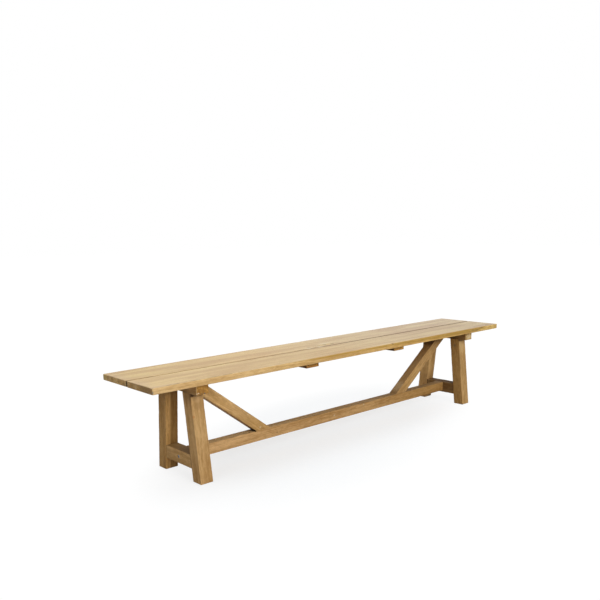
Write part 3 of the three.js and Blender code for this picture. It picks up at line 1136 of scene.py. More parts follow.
def new_object(name: str, points: np.ndarray, quads: np.ndarray, triangles: np.ndarray) -> bpy.types.Object:
    """Makes an object from points and faces.

    Args:
        name: The object's name.
        points: The points, one row each.
        quads: Four point numbers in each row.
        triangles: Three point numbers in each row.

    Returns:
        The object, in the scene.
    """
    mesh = bpy.data.meshes.new(name)
    mesh.from_pydata(points.tolist(), [], quads.tolist() + triangles.tolist())
    made = bpy.data.objects.new(name, mesh)
    bpy.context.scene.collection.objects.link(made)
    return made


def soften(piece: bpy.types.Object, degrees: float = 38.0) -> None:
    """Shades a piece smooth except over edges sharper than an angle."""
    piece.data.polygons.foreach_set("use_smooth", np.ones(len(piece.data.polygons), dtype=bool))
    piece.data.set_sharp_from_angle(angle=math.radians(degrees))


def around(count: int) -> tuple[np.ndarray, np.ndarray]:
    """The numbers of the points in a closed row, and of the point after each."""
    here = np.arange(count)
    return here, (here + 1) % count


def strip(rows: int, columns: int, start: int = 0) -> np.ndarray:
    """Quads between rows of points whose columns close on themselves.

    Args:
        rows: How many rows of points there are.
        columns: How many points each row has.
        start: The number of the first point.

    Returns:
        The quads. They face outwards where the columns run anticlockwise seen from the last row.
    """
    row = np.arange(rows - 1)[:, None] * columns
    here, after = around(columns)
    corners = np.stack([row + here, row + after, row + columns + after, row + columns + here], -1)
    return corners.reshape(-1, 4) + start


def turned(name: str, foot: Point, axis: Point, profile: Sequence[tuple[float, float]],
           sides: int = 48) -> bpy.types.Object:
    """A turned solid: its radius at each height is carried round an axis.

    A point lies at foot + height * up + radius * (cos(a) * first + sin(a) * second), where first and second
    stand square to the axis.

    Args:
        name: The object's name.
        foot: The point at height 0 on the axis.
        axis: The axis's direction, upwards.
        profile: (radius, height) pairs, which start and end on the axis.
        sides: How many points go round.

    Returns:
        The object.
    """
    radii, heights = np.array(profile, float).T
    up = np.array(Vector(axis).normalized())
    first = np.cross(up, UPWARD if abs(up[2]) < 0.9 else RIGHTWARD)
    first /= np.linalg.norm(first)
    second = np.cross(up, first)
    here, after = around(sides)
    angles = here * (2 * math.pi / sides)
    circle = np.cos(angles)[:, None] * first + np.sin(angles)[:, None] * second
    middle = radii[1:-1, None, None] * circle + heights[1:-1, None, None] * up
    poles = np.stack([heights[0] * up, heights[-1] * up])
    points = np.concatenate([middle.reshape(-1, 3), poles]) + np.array(foot)
    rows = len(radii) - 2
    last = (rows - 1) * sides
    below = np.stack([after, here, np.full(sides, rows * sides)], -1)
    above = np.stack([last + here, last + after, np.full(sides, rows * sides + 1)], -1)
    return new_object(name, points, strip(rows, sides), np.concatenate([below, above]))


def drill(piece: bpy.types.Object, cutters: Sequence[bpy.types.Object]) -> None:
    """Cuts closed shapes out of a piece, and removes the shapes.

    Args:
        piece: The piece.
        cutters: Closed objects.
    """
    for cutter in cutters:
        cut = piece.modifiers.new(cutter.name, "BOOLEAN")
        cut.operation = "DIFFERENCE"
        cut.solver = "EXACT"
        cut.object = cutter
    graph = bpy.context.evaluated_depsgraph_get()
    carved = bpy.data.meshes.new_from_object(piece.evaluated_get(graph))
    piece.modifiers.clear()
    piece.data = carved
    for cutter in cutters:
        bpy.data.objects.remove(cutter)


@dataclass(frozen=True)
class Hole:
    """A round hole, whose profile is (radius, depth) pairs inwards from its mouth."""

    mouth: Point
    inward: Point
    profile: tuple[tuple[float, float], ...]

    overrun = 2 * MM

    @classmethod
    def plain(cls, mouth: Point, inward: Point, diameter: float, depth: float) -> "Hole":
        """A straight hole with a flat bottom."""
        return cls(mouth, inward, ((diameter / 2, 0.0), (diameter / 2, depth)))

    def cutter(self, name: str) -> bpy.types.Object:
        """Makes the shape that cuts the hole, which stands out a little from its mouth.

        Args:
            name: The shape's name.

        Returns:
            The shape.
        """
        outside = (self.profile[0][0], -self.overrun)
        closed = ((0.0, outside[1]), outside, *self.profile, (0.0, self.profile[-1][1]))
        return turned(name, self.mouth, self.inward, closed)


@dataclass(frozen=True)
class EndCut:
    """How a timber's end is cut.

    The planes are each a point and an outward normal. The corners are the radii that round the end's upright
    corners, against and along the width's direction. A jointed end meets another timber, where dirt gathers.
    """

    planes: tuple[tuple[Point, Point], ...]
    arris: float = 0.4 * MM
    corners: tuple[float, float] = (0.0, 0.0)
    jointed: bool = True


@dataclass
class Timber:
    """A straight timber with eased, slightly uneven long edges and cut ends.

    Its section is a rectangle with elliptical corners, carried along the grain between two cut ends. The
    corners' sizes wander along it and are dented here and there.
    """

    node: str
    centre: Point
    along: Vector
    across: Vector
    width: float
    depth: float
    low: EndCut
    high: EndCut
    grain: Grain
    finish: WoodFinish
    arris: float = 2.0 * MM
    wear: float = 0.35
    dents: int = 4
    station: float = 8 * MM
    column: float = 9 * MM
    holes: list[Hole] = field(default_factory=list)

    corner_steps = 5
    dressed_share = 0.35
    evenness = 0.65
    least_corner = 0.1

    # The long edges: their wander's length, and a dent's reach in millimetres and its depth in arrises
    drift_length = 0.16
    dent_reach = (3, 9)
    dent_depth = (0.3, 1.0)
    dent_seed, drift_seed = 11, 7

    # The stations near an end, in arrises from its cut, and the rings that close it, as shares of the section
    near_end = (0.0, 0.07, 0.29, 0.62, 1.0, 2.2)
    end_rings = (0.93, 0.80, 0.60, 0.36, 0.14)

    @property
    def deep(self) -> Vector:
        """The direction of the section's depth."""
        return self.along.cross(self.across)

    @property
    def length(self) -> float:
        """The length along the section's middle."""
        ends = self._axis()
        return float(ends[1] - ends[0])

    def axes(self) -> Matrix:
        """The rotation from the timber's own axes to the bench's."""
        return Matrix((self.along, self.across, self.deep)).transposed()

    def _ends(self) -> tuple[tuple[EndCut, int], ...]:
        """The low and the high end, each with its sign."""
        return (self.low, -1), (self.high, 1)

    def _axis(self) -> np.ndarray:
        """Where the section's middle meets the low and the high end."""
        middle = np.zeros(1)
        return np.concatenate([self.reach(cut, middle, middle, sign) for cut, sign in self._ends()])

    def reach(self, cut: EndCut, u: np.ndarray, v: np.ndarray, sign: int) -> np.ndarray:
        """How far along the grain a fibre runs before it meets an end.

        A fibre ends at the nearest plane, drawn back by r - sqrt(r^2 - over^2) where it lies within the end's
        corner radius r of a side, by the amount over.

        Args:
            cut: The end.
            u: Places across the width.
            v: Places across the depth.
            sign: 1 for the high end and -1 for the low one.

        Returns:
            The distance from the centre for each fibre, with its sign.
        """
        found = []
        for point, normal in cut.planes:
            n = Vector(normal)
            gap = (Vector(point) - Vector(self.centre)).dot(n)
            found.append((gap - u * self.across.dot(n) - v * self.deep.dot(n)) / self.along.dot(n))
        stacked = np.stack(found)
        corner = np.where(u < 0, *cut.corners)
        over = np.clip(np.abs(u) - (self.width / 2 - corner), 0, corner)
        drawn = corner - np.sqrt(corner**2 - over**2)
        return stacked.min(0) - drawn if sign > 0 else stacked.max(0) + drawn

    def corner_radii(self, where: np.ndarray) -> np.ndarray:
        """The four corners' sizes across the width and the depth.

        A corner's size is arris * (1 + wear * drift), and each dent adds arris * depth times the bump
        exp(-((x - spot) / reach)^2). A dressed edge adds its bevel to the upper front corner.

        Args:
            where: Places along the timber.

        Returns:
            An array of places by corners by (width, depth). The corners run anticlockwise from (+, +).
        """
        random = np.random.default_rng(self.grain.seed + self.dent_seed)
        radii = np.empty((len(where), 4, 2))
        for corner in range(4):
            drift = Waver(self.grain.seed * self.drift_seed + corner, self.drift_length)(where)
            size = self.arris * (1 + self.wear * drift)
            for _ in range(self.dents):
                spot = random.uniform(where.min(), where.max())
                reach = random.uniform(*self.dent_reach) * MM
                bump = np.exp(-(((where - spot) / reach) ** 2))
                size = size + random.uniform(*self.dent_depth) * self.arris * bump
            radii[:, corner, :] = size[:, None]
        for mark in self.grain.marks:
            if isinstance(mark, DressedEdge):
                bevel = mark.heights(where / MM) * MM * self.dressed_share
                radii[:, 1, 1] += bevel
                radii[:, 1, 0] += bevel / 3
        return radii

    def _loop(self, half: np.ndarray, radii: np.ndarray) -> tuple[np.ndarray, np.ndarray]:
        """The section's outline at each station: a quarter ellipse at each corner, and a side after it.

        Args:
            half: Stations by (half width, half depth).
            radii: Stations by corners by (width, depth).

        Returns:
            Two arrays of stations by points: places across the width and across the depth.
        """
        signs = np.array([(1, 1), (-1, 1), (-1, -1), (1, -1)], float)
        columns = [max(2, round(self.width / self.column)), max(2, round(self.depth / self.column))]
        us, vs = [], []
        for corner in range(4):
            angle = (corner + np.linspace(0, 1, self.corner_steps + 1)) * (math.pi / 2)
            middle = signs[corner] * (half - radii[:, corner])
            us.append(middle[:, :1] + radii[:, corner, :1] * np.cos(angle))
            vs.append(middle[:, 1:] + radii[:, corner, 1:] * np.sin(angle))
            after = (corner + 1) % 4
            even = np.linspace(0, 1, columns[corner % 2] + 1)[1:-1]
            share = self.evenness * even + (1 - self.evenness) * (0.5 - 0.5 * np.cos(math.pi * even))
            start = np.stack([us[-1][:, -1], vs[-1][:, -1]], -1)
            turn = after * math.pi / 2
            middle = signs[after] * (half - radii[:, after])
            stop = middle + radii[:, after] * np.array([math.cos(turn), math.sin(turn)])
            us.append(start[:, :1] + (stop - start)[:, :1] * share)
            vs.append(start[:, 1:] + (stop - start)[:, 1:] * share)
        return np.concatenate(us, 1), np.concatenate(vs, 1)

    def _margin(self, cut: EndCut) -> float:
        """How far from an end its last fixed station lies."""
        return self.near_end[-1] * cut.arris

    def _stations(self) -> tuple[np.ndarray, np.ndarray, np.ndarray, np.ndarray]:
        """Places the stations.

        Those near an end lie at fixed distances from its cut, where the section draws in along a quarter
        circle, and the others share out the length between.

        Returns:
            For each station: -1 near the low end, 1 near the high end or 0 between; its distance from the
            end, or its share of the length between; how far its section draws in; and its place along.
        """
        axis = self._axis()
        near = np.array(self.near_end)
        count = max(3, round((axis[1] - axis[0]) / self.station))
        shares = np.linspace(0, 1, count + 1)[1:-1]
        low, high = near * self.low.arris, near[::-1] * self.high.arris
        kind = np.concatenate([np.full(len(low), -1), np.zeros(len(shares)), np.full(len(high), 1)])
        offset = np.concatenate([low, shares, high])
        radius = np.where(kind < 0, self.low.arris, self.high.arris)
        inside = np.where(kind == 0, 1.0, np.clip(offset / radius, 0, 1))
        draw = radius * (1 - np.sqrt(1 - (1 - inside) ** 2))
        where = np.where(kind < 0, axis[0] + offset, np.where(kind > 0, axis[1] - offset, 0.0))
        first, last = axis[0] + low[-1], axis[1] - high[0]
        return kind, offset, draw, np.where(kind == 0, first + offset * (last - first), where)

    def build(self) -> bpy.types.Object:
        """Makes the timber's mesh, drills it and dresses it.

        Returns:
            The piece.
        """
        kind, offset, draw, where = self._stations()
        half = np.array([self.width, self.depth]) / 2 - draw[:, None]
        radii = np.maximum(self.corner_radii(where) - draw[:, None, None], self.least_corner * self.arris)
        u, v = self._loop(half, radii)
        foot, head = self.reach(self.low, u, v, -1), self.reach(self.high, u, v, 1)
        s_low, s_high = foot + offset[:, None], head - offset[:, None]
        low, high = self._margin(self.low), self._margin(self.high)
        between = (foot + low) + offset[:, None] * (head - high - foot - low)
        s = np.where(kind[:, None] < 0, s_low, np.where(kind[:, None] > 0, s_high, between))
        points, quads, triangles = self._closed(s, u, v)
        flat = np.array(self.axes()) @ points.T
        piece = new_object(f"{self.node}_timber", flat.T + np.array(self.centre), quads, triangles)
        if self.holes:
            drill(piece, [hole.cutter(f"{self.node}_hole") for hole in self.holes])
        soften(piece)
        self._dress(piece)
        return piece

    def _closed(self, s: np.ndarray, u: np.ndarray, v: np.ndarray) -> tuple[np.ndarray, ...]:
        """Closes both ends with rings that shrink to a point.

        Args:
            s: Stations by points: places along the timber.
            u: Places across the width.
            v: Places across the depth.

        Returns:
            Points in the timber's own axes, quads and triangles.
        """
        rows, columns = s.shape
        sides = np.stack([s, u, v], -1).reshape(-1, 3)
        quads, triangles, points = [strip(rows, columns)], [], [sides]
        total = len(sides)
        shrink = np.array(self.end_rings)
        here, after = around(columns)
        for row, (cut, sign) in zip((0, rows - 1), self._ends()):
            ring_u, ring_v = shrink[:, None] * u[row], shrink[:, None] * v[row]
            ring_s = self.reach(cut, ring_u, ring_v, sign)
            ring = np.stack([ring_s, ring_u, ring_v], -1).reshape(-1, 3)
            centre = np.array([[self.reach(cut, np.zeros(1), np.zeros(1), sign)[0], 0.0, 0.0]])
            rim = row * columns
            join = np.stack([rim + here, rim + after, total + after, total + here], -1)
            cap = np.concatenate([join, strip(len(shrink), columns, total)])
            inner = total + (len(shrink) - 1) * columns
            fan = np.stack([inner + here, inner + after, np.full(columns, total + len(ring))], -1)
            quads.append(cap if sign > 0 else cap[:, ::-1])
            triangles.append(fan if sign > 0 else fan[:, ::-1])
            points += [ring, centre]
            total += len(ring) + 1
        return np.concatenate(points), np.concatenate(quads), np.concatenate(triangles)

    def _dress(self, piece: bpy.types.Object) -> None:
        """Gives the piece its wood and its place in the record.

        Args:
            piece: The timber's piece.
        """
        piece.data.materials.clear()
        piece.data.materials.append(self.finish.material(self))
        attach(piece, BODY)
        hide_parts(self.node)


# The bench's sub-assemblies


@dataclass(frozen=True)
class Sizes:
    """The bench's sizes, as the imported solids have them."""

    seat_length: float = 2300 * MM
    seat_width: float = 400 * MM
    seat_height: float = 450 * MM
    plank_thickness: float = 26 * MM
    plank_gap: float = 7 * MM
    plank_corner: float = 1 * MM
    plank_slot_corner: float = 4 * MM
    frame_x: float = 909 * MM
    batten_x: float = 303 * MM
    batten_width: float = 78 * MM
    batten_thickness: float = 24 * MM
    batten_length: float = 330 * MM
    batten_corners: tuple[float, float] = (4 * MM, 4 * MM)
    bearer_width: float = 61 * MM
    bearer_height: float = 43 * MM
    bearer_length: float = 341 * MM
    bearer_corners: tuple[float, float] = (5 * MM, 5 * MM)
    leg_width: float = 61 * MM
    leg_depth: float = 58 * MM
    leg_splay: float = math.radians(6.3)
    leg_setback: float = 46.7 * MM
    leg_foot: float = 2.5 * MM
    rail_thickness: float = 57 * MM
    rail_height: float = 60 * MM
    rail_top: float = 116.5 * MM
    stretcher_width: float = 48 * MM
    stretcher_height: float = 50 * MM
    brace_depth: float = 50 * MM
    brace_angle: float = math.radians(37.3)
    gap: float = 0.3 * MM

    @property
    def plank_width(self) -> float:
        """One plank's width."""
        return (self.seat_width - self.plank_gap) / 2

    @property
    def plank_bottom(self) -> float:
        """The height of the planks' underside."""
        return self.seat_height - self.plank_thickness

    @property
    def bearer_top(self) -> float:
        """The height of the bearers' upper face."""
        return self.plank_bottom - self.gap

    @property
    def bearer_bottom(self) -> float:
        """The height of the bearers' underside."""
        return self.bearer_top - self.bearer_height

    @property
    def leg_level_depth(self) -> float:
        """A leg's depth measured level."""
        return self.leg_depth / math.cos(self.leg_splay)

    @property
    def rail_middle(self) -> float:
        """The height of the rails' middle."""
        return self.rail_top - self.rail_height / 2

    @property
    def stretcher_bottom(self) -> float:
        """The height of the stretcher's underside."""
        return self.rail_top - self.stretcher_height

    def leg_outer(self, height: float) -> float:
        """How far a leg's outer face is from the frame's middle at a height."""
        top = self.bearer_length / 2 - self.leg_setback
        return top + (self.bearer_bottom - height) * math.tan(self.leg_splay)

    def brace_lower(self, height: float) -> float:
        """How far a brace's lower edge is from the frame's middle, along the bench, at a height."""
        return self.bearer_width / 2 + (self.bearer_bottom - height) / math.tan(self.brace_angle)


@dataclass(frozen=True)
class Bores:
    """The holes that stay open to view, each a diameter and a depth, and the cones for the screws' heads."""

    bolt_recess: Bore = (16.6 * MM, 12 * MM)
    nut: Bore = (12.6 * MM, 30.3 * MM)
    brace_recess: Bore = (12.6 * MM, 14 * MM)
    plug: Bore = (10.6 * MM, 32.3 * MM)
    head_recess: Bore = (20 * MM, 9 * MM)
    glide: Bore = (26.6 * MM, 3.3 * MM)
    screw_head: Bore = (10.6 * MM, 3 * MM)
    screw_shank: Bore = (5.6 * MM, 9 * MM)

    screw_count = 4

    def screws(self, stem: str) -> list[Hole]:
        """Makes the countersunk holes of one timber's screws, which are driven upwards.

        Args:
            stem: What the screws' nodes are called, without their number.

        Returns:
            The holes.
        """
        (head, cone), (shank, depth) = self.screw_head, self.screw_shank
        profile = ((head / 2, 0.0), (shank / 2, cone), (shank / 2, depth))
        found = []
        for number in range(1, self.screw_count + 1):
            low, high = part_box(f"{stem}_{number}")
            found.append(Hole(((low.x + high.x) / 2, (low.y + high.y) / 2, low.z), UPWARD, profile))
        return found


BORES = Bores()


def middle_of(node: str) -> Vector:
    """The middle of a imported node's box."""
    low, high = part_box(node)
    return (low + high) / 2


def square_end(point: Point, normal: Point, arris: float = EndCut.arris,
               corners: tuple[float, float] = EndCut.corners, jointed: bool = True) -> EndCut:
    """An end cut on one plane through a point.

    Args:
        point: The point.
        normal: The plane's outward normal.
        arris: How far the end's edges are eased.
        corners: The radii of the end's upright corners, against and along the width's direction.
        jointed: Whether the end meets another timber.

    Returns:
        The cut.
    """
    return EndCut(((point, normal),), arris, corners, jointed)


SPOT_PALE: Colour = (0.72, 0.64, 0.46)
SPOT_YELLOW: Colour = (0.62, 0.435, 0.15)
SPOT_DARK: Colour = (0.17, 0.12, 0.06)
SPOT_SOFT: Colour = (0.4, 0.31, 0.205)
SPOT_GREY: Colour = (0.13, 0.125, 0.115)

END_BAND: Colour = (0.56, 0.41, 0.255)
END_PALE: Colour = (0.52, 0.37, 0.18)
END_OLIVE: Colour = (0.43, 0.33, 0.125)
# Brown of spots and streaks on end grain, and also of painted shade on the left front leg's top and the left
# bearer's side
BROWN_SPOT_AND_SHADE: Colour = (0.19, 0.115, 0.042)
# Painted shade along the rims of the gap between the planks
GAP_RIM_SHADE: Colour = (0.31, 0.215, 0.142)
# Painted shade: the dark inside the gap, the shadow wedge under the left brace's foot and the right bearer's
# shaded side
SHADE_DARK: Colour = (0.048, 0.027, 0.01)

FRONT_PLANK = Grain(
    seed=21, pith=(105.0, -85.0), lean=(0.012, 0.02), ring=5.0, wave=11.0,
    tints=((0.0, (0.98, 0.95, 0.97)), (0.17, (1.0, 0.96, 0.95)), (0.35, (1.0, 0.97, 0.91)),
           (0.5, (0.93, 0.85, 0.68)), (0.7, (0.98, 0.88, 0.6)), (0.88, (0.95, 0.87, 0.6)),
           (0.95, (1.3, 1.36, 1.14))),
    top_tints=((0.0, (0.93, 0.865, 0.69)), (0.45, (0.895, 0.85, 0.745)), (0.62, (0.92, 0.92, 0.89)),
               (1.0, (0.93, 0.945, 0.99))),
    end_tint=(0.73, 0.64, 0.45),
    marks=(
        # Painted shade on the face inside the gap
        GapShade(BACKWARD, 0.85),
        DressedEdge(((-550, -150, 10), (100, 650, 9), (940, 1060, -19)), (0.4, 0.232, 0.046), 0.95),
        Knot((213, -200, 447), Runs.ACROSS, 3.5, 2.0, length=15.0),
        Smudge((-1150, -85, 454), (60, 130, 9), END_BAND, 0.6),
        Smudge((-1150, -100, 449), (6, 110, 3), BROWN_SPOT_AND_SHADE, 0.6, LEFTWARD),
        Smudge((-1150, -150, 437), (8, 60, 24), BROWN_SPOT_AND_SHADE, 0.62),
        Smudge((-1150, -74, 437), (6, 12, 12), END_PALE, 0.6, LEFTWARD),
        Smudge((-1150, -19, 440), (6, 12, 9), END_PALE, 0.55, LEFTWARD),
        Smudge((-1150, -48, 436), (6, 8, 18), BROWN_SPOT_AND_SHADE, 0.4),
        Smudge((-578, -200, 447), (8, 5, 3), SPOT_YELLOW),
        Smudge((-1149, -199, 450), (5, 4, 3), SPOT_GREY, 0.6),
        Smudge((-1148, -199, 434), (4, 4, 6), SPOT_GREY, 0.7),
        Smudge((905, -200, 440), (16, 5, 5), SPOT_DARK, 0.4),
        Smudge((943, -200, 436), (20, 5, 5), SPOT_DARK, 0.45),
        Smudge((990, -200, 444), (14, 5, 5), SPOT_DARK, 0.35),
        # Painted shade along the gap's rim
        Smudge((430, -3, 450), (1000, 10, 7), GAP_RIM_SHADE, 0.7),
        Crack((-1152, -61, 450), (-1078, -63, 450), 0.9),
        Crack((1152, -128, 450), (1105, -126, 450), 0.8),
        Smudge((-1095, -184, 450), (75, 18, 6), END_BAND, 0.45),
        Crack((-1130, -193.5, 450), (-735, -194.5, 450), 4.0, 0.75),
    ),
)

BACK_PLANK = Grain(
    seed=34, pith=(95.0, -80.0), lean=(0.01, -0.015), ring=5.2, wave=12.0, streak=1.4,
    tints=FRONT_PLANK.tints,
    top_tints=((0.0, (0.9, 0.84, 0.66)), (0.3, (0.94, 0.865, 0.735)), (0.6, (0.97, 0.98, 0.96)),
               (1.0, (1.01, 1.04, 1.15))),
    end_tint=(1.0, 0.98, 0.81),
    marks=(
        # Painted shade in the gap: on the face inside it, deep in it along the seat and at the left end, and
        # along its rim
        GapShade(FORWARD, 0.55),
        Smudge((600, 3, 447), (840, 6, 16), SHADE_DARK, 0.95, FORWARD),
        Smudge((430, 3, 450), (1000, 10, 7), GAP_RIM_SHADE, 0.7),
        Smudge((-1146, 3, 437), (22, 6, 18), SHADE_DARK, 1.0, FORWARD),
        Smudge((-1150, 8, 438), (6, 5, 15), END_PALE, 0.6, LEFTWARD),
        Smudge((-1150, 100, 454), (60, 130, 9), END_BAND, 0.6),
        Smudge((-1150, 90, 449), (6, 100, 3), BROWN_SPOT_AND_SHADE, 0.6, LEFTWARD),
        Smudge((-1150, 190, 437), (8, 30, 22), END_OLIVE, 0.6),
        Smudge((-1150, 142, 436), (6, 14, 10), END_PALE, 0.5, LEFTWARD),
        Smudge((-1150, 92, 436), (6, 12, 9), END_PALE, 0.45, LEFTWARD),
        Smudge((-1150, 118, 441), (6, 8, 14), BROWN_SPOT_AND_SHADE, 0.5),
        Smudge((-1150, 66, 437), (6, 7, 20), BROWN_SPOT_AND_SHADE, 0.5),
        Smudge((-1150, 22, 432), (6, 16, 12), BROWN_SPOT_AND_SHADE, 0.45),
        Smudge((-166, 12, 450), (34, 9, 6), SPOT_PALE, 0.55),
        Smudge((-88, 10, 450), (30, 8, 6), SPOT_PALE, 0.65),
        Smudge((-14, 63, 450), (46, 12, 6), SPOT_PALE, 0.6),
        Smudge((-61, 34, 450), (22, 9, 6), SPOT_YELLOW, 0.7),
        Smudge((-16, 30, 450), (26, 9, 6), SPOT_YELLOW, 0.6),
        Smudge((-147, 33, 450), (16, 7, 6), SPOT_SOFT, 0.6),
        Smudge((-81, 56, 450), (16, 7, 6), SPOT_SOFT, 0.45),
        Smudge((-79, 36, 450), (9, 6, 6), SPOT_SOFT, 0.6),
        Smudge((58, 42, 450), (17, 6, 6), SPOT_SOFT, 0.5),
        Smudge((-35, 36, 450), (11, 8, 6), SPOT_DARK, 0.75),
        Smudge((14, 31, 450), (15, 9, 6), SPOT_DARK, 0.75),
        Crack((-175, 32, 450), (64, 39, 450), 1.4),
        Knot((-640, 90, 450), Runs.DEEP, 2.5, 1.5),
        Crack((-1152, 118, 450), (-1096, 117, 450), 0.9),
    ),
)

BATTENS = {
    Side.LEFT: Grain(
        51, (-25.0, -60.0), (0.03, 0.02), tint=(0.75, 0.72, 0.7), end_tint=(1.01, 0.73, 0.32),
        # Painted shade: the darker left face, and the wood darkened just below the planks
        marks=(SideShade(LEFTWARD, (0.34, 0.3, 0.26)), Seam(417.0, 6.0, 0.95)),
    ),
    Side.RIGHT: Grain(
        53, (22.0, -55.0), (0.02, 0.03), tint=(0.8, 0.77, 0.74), end_tint=(1.36, 1.18, 0.66),
        # Painted shade: the darker left face, and the wood darkened just below the planks
        marks=(SideShade(LEFTWARD, (0.32, 0.28, 0.25)), Seam(419.0, 7.0, 0.95)),
    ),
}

LEGS = {
    (Side.LEFT, Row.FRONT): Grain(
        102, (-120.0, 64.0), (0.03, 0.05), wave=6.0, tint=(1.0, 1.0, 0.97),
        tints=((0.1, (0.95, 0.92, 0.89)), (0.5, (0.94, 0.93, 0.93)), (0.9, (1.03, 1.03, 1.03))),
        marks=(
            Smudge((-935, -133, 286), (7, 6, 6), (0.45, 0.17, 0.05), 0.7),
            Smudge((-909, -128, 328), (24, 26, 8), (0.35, 0.205, 0.08), 0.6, FORWARD),
            # Painted shade, the next four marks: the shadow under the bearer's end at the leg's top, the
            # shade under the seat on the left face, and a shaded strip along the left face's front edge
            Smudge((-939.5, -124, 366), (18, 6, 14), BROWN_SPOT_AND_SHADE, 0.55, LEFTWARD),
            Seam(372.0, 56.0, 0.34, LEFTWARD),
            Smudge((-939.5, -144, 200), (150, 6, 10), (0.26, 0.175, 0.085), 0.24, LEFTWARD),
            Seam(368.5, 4.5, 1.0, FORWARD),
            Smudge((-909, -128, 358), (22, 30, 8), (0.6, 0.39, 0.19), 0.35, FORWARD),
        ),
    ),
    (Side.LEFT, Row.BACK): Grain(
        104, (95.0, 120.0), (0.04, 0.06), wave=6.0, tint=(1.32, 1.27, 1.08),
        # The heartwood's darker side on this leg's inner face also stands for the front leg's shadow: partly
        # painted shade
        heart=Heart(math.pi, 7.0, 5.0, (0.52, 0.49, 0.42)),
        marks=(
            # Painted shade: the darker left face, the shade under the seat at the top, and under the bearer
            # on the front face
            SideShade(LEFTWARD, (0.6, 0.58, 0.55)),
            Seam(381.0, 90.0, 0.28),
            Seam(354.0, 18.0, 0.4, FORWARD),
        ),
    ),
    (Side.RIGHT, Row.FRONT): Grain(
        302, (-140.0, -60.0), (0.03, 0.04), wave=6.0, tint=(1.08, 1.07, 0.99), streak=1.3,
        marks=(
            # Painted shade on the left face
            SideShade(LEFTWARD, (0.68, 0.64, 0.54)),
            Smudge((904, -128, 344), (56, 26, 10), (0.74, 0.52, 0.24), 0.58, FORWARD),
            Smudge((878.5, -98, 345), (11, 6, 9), SPOT_DARK, 0.75, LEFTWARD),
            Smudge((879, -137, 256), (70, 6, 6), SPOT_DARK, 0.35),
            Smudge((878, -164, 5), (5, 7, 8), SPOT_GREY, 0.9),
            # Painted shadow under the bearer's end, at the front face's top
            Seam(374.0, 9.0, 0.85, FORWARD),
        ),
    ),
    (Side.RIGHT, Row.BACK): Grain(
        304, (110.0, 90.0), (0.05, 0.03), wave=6.0, tint=(1.04, 1.0, 0.92),
        tints=((0.35, WHITE), (0.52, (1.2, 1.27, 1.3)), (0.72, (1.2, 1.27, 1.28)),
               (0.88, WHITE)),
        # Painted shade below the seat, and under the bearer on the front and left faces
        marks=(Seam(381.0, 60.0, 0.25), Seam(346.0, 18.0, 0.95, FORWARD), Seam(338.0, 22.0, 0.85, LEFTWARD)),
    ),
}

BEARERS = {
    Side.LEFT: Grain(
        107, (12.0, -34.0), (0.02, 0.03), end_tint=(1.0, 0.8, 0.38),
        marks=(
            # Painted shade on the left face, darkest above the front leg
            SideShade(LEFTWARD, (0.78, 0.76, 0.7)),
            Smudge((-939.5, -78, 400), (38, 6, 30), BROWN_SPOT_AND_SHADE, 0.8, LEFTWARD),
            Smudge((-938, -170, 402), (4, 3, 24), (0.6, 0.43, 0.21), 0.4),
            Smudge((-937, -170, 387), (4, 4, 4), (0.7, 0.54, 0.34), 0.75),
            Smudge((-929, -170.5, 388.5), (4, 3, 3), (0.82, 0.68, 0.47), 0.9),
            Smudge((-913, -170.5, 386), (4, 4, 3.5), SPOT_DARK, 0.7),
            Smudge((-901, -170.5, 384), (5, 5, 3.5), SPOT_GREY, 0.8),
            # Painted shadow along the top, under the planks
            Seam(423.7, 5.0, 0.9),
        ),
    ),
    Side.RIGHT: Grain(
        307, (-14.0, -40.0), (0.02, 0.03), end_tint=(1.52, 1.66, 1.68),
        marks=(
            # Painted shade on the left face, darkest above the front leg
            SideShade(LEFTWARD, (0.44, 0.39, 0.31)),
            Smudge((878.5, -86, 400), (34, 6, 30), SHADE_DARK, 0.6, LEFTWARD),
            Smudge((910, -170.5, 399), (6, 23, 13), (0.82, 0.68, 0.43), 0.5, FORWARD),
            Smudge((889, -170.5, 412), (5, 6, 4), BROWN_SPOT_AND_SHADE, 0.8, FORWARD),
            Smudge((905, -170.5, 416), (5, 9, 3), BROWN_SPOT_AND_SHADE, 0.6, FORWARD),
            # Painted shadow along the top, under the planks
            Seam(423.7, 6.0, 0.9),
        ),
    ),
}

RAILS = {
    Side.LEFT: Grain(
        109, (70.0, -90.0), (0.03, 0.02), tint=(1.06, 1.07, 1.06),
        # These dark top tints paint the shade on the rail's upper face, darkest near the front leg
        top_tints=((0.05, (0.48, 0.46, 0.4)), (0.4, (0.44, 0.43, 0.38)), (0.6, (0.6, 0.58, 0.48)),
                   (0.85, (0.68, 0.65, 0.5))),
    ),
    Side.RIGHT: Grain(
        309, (-80.0, 70.0), (0.03, 0.02), tint=(0.39, 0.355, 0.3),
        tints=((0.46, WHITE), (0.58, (1.38, 1.5, 1.7))),
        top_tints=((0.0, (1.0, 0.94, 0.78)), (1.0, (1.0, 0.94, 0.78))),
    ),
}

# The directions in which the right brace's upper face and the left brace's lower one look
UPPER_FACE: Point = (-0.606, 0.0, 0.795)
UNDER_FACE: Point = (-0.606, 0.0, -0.795)

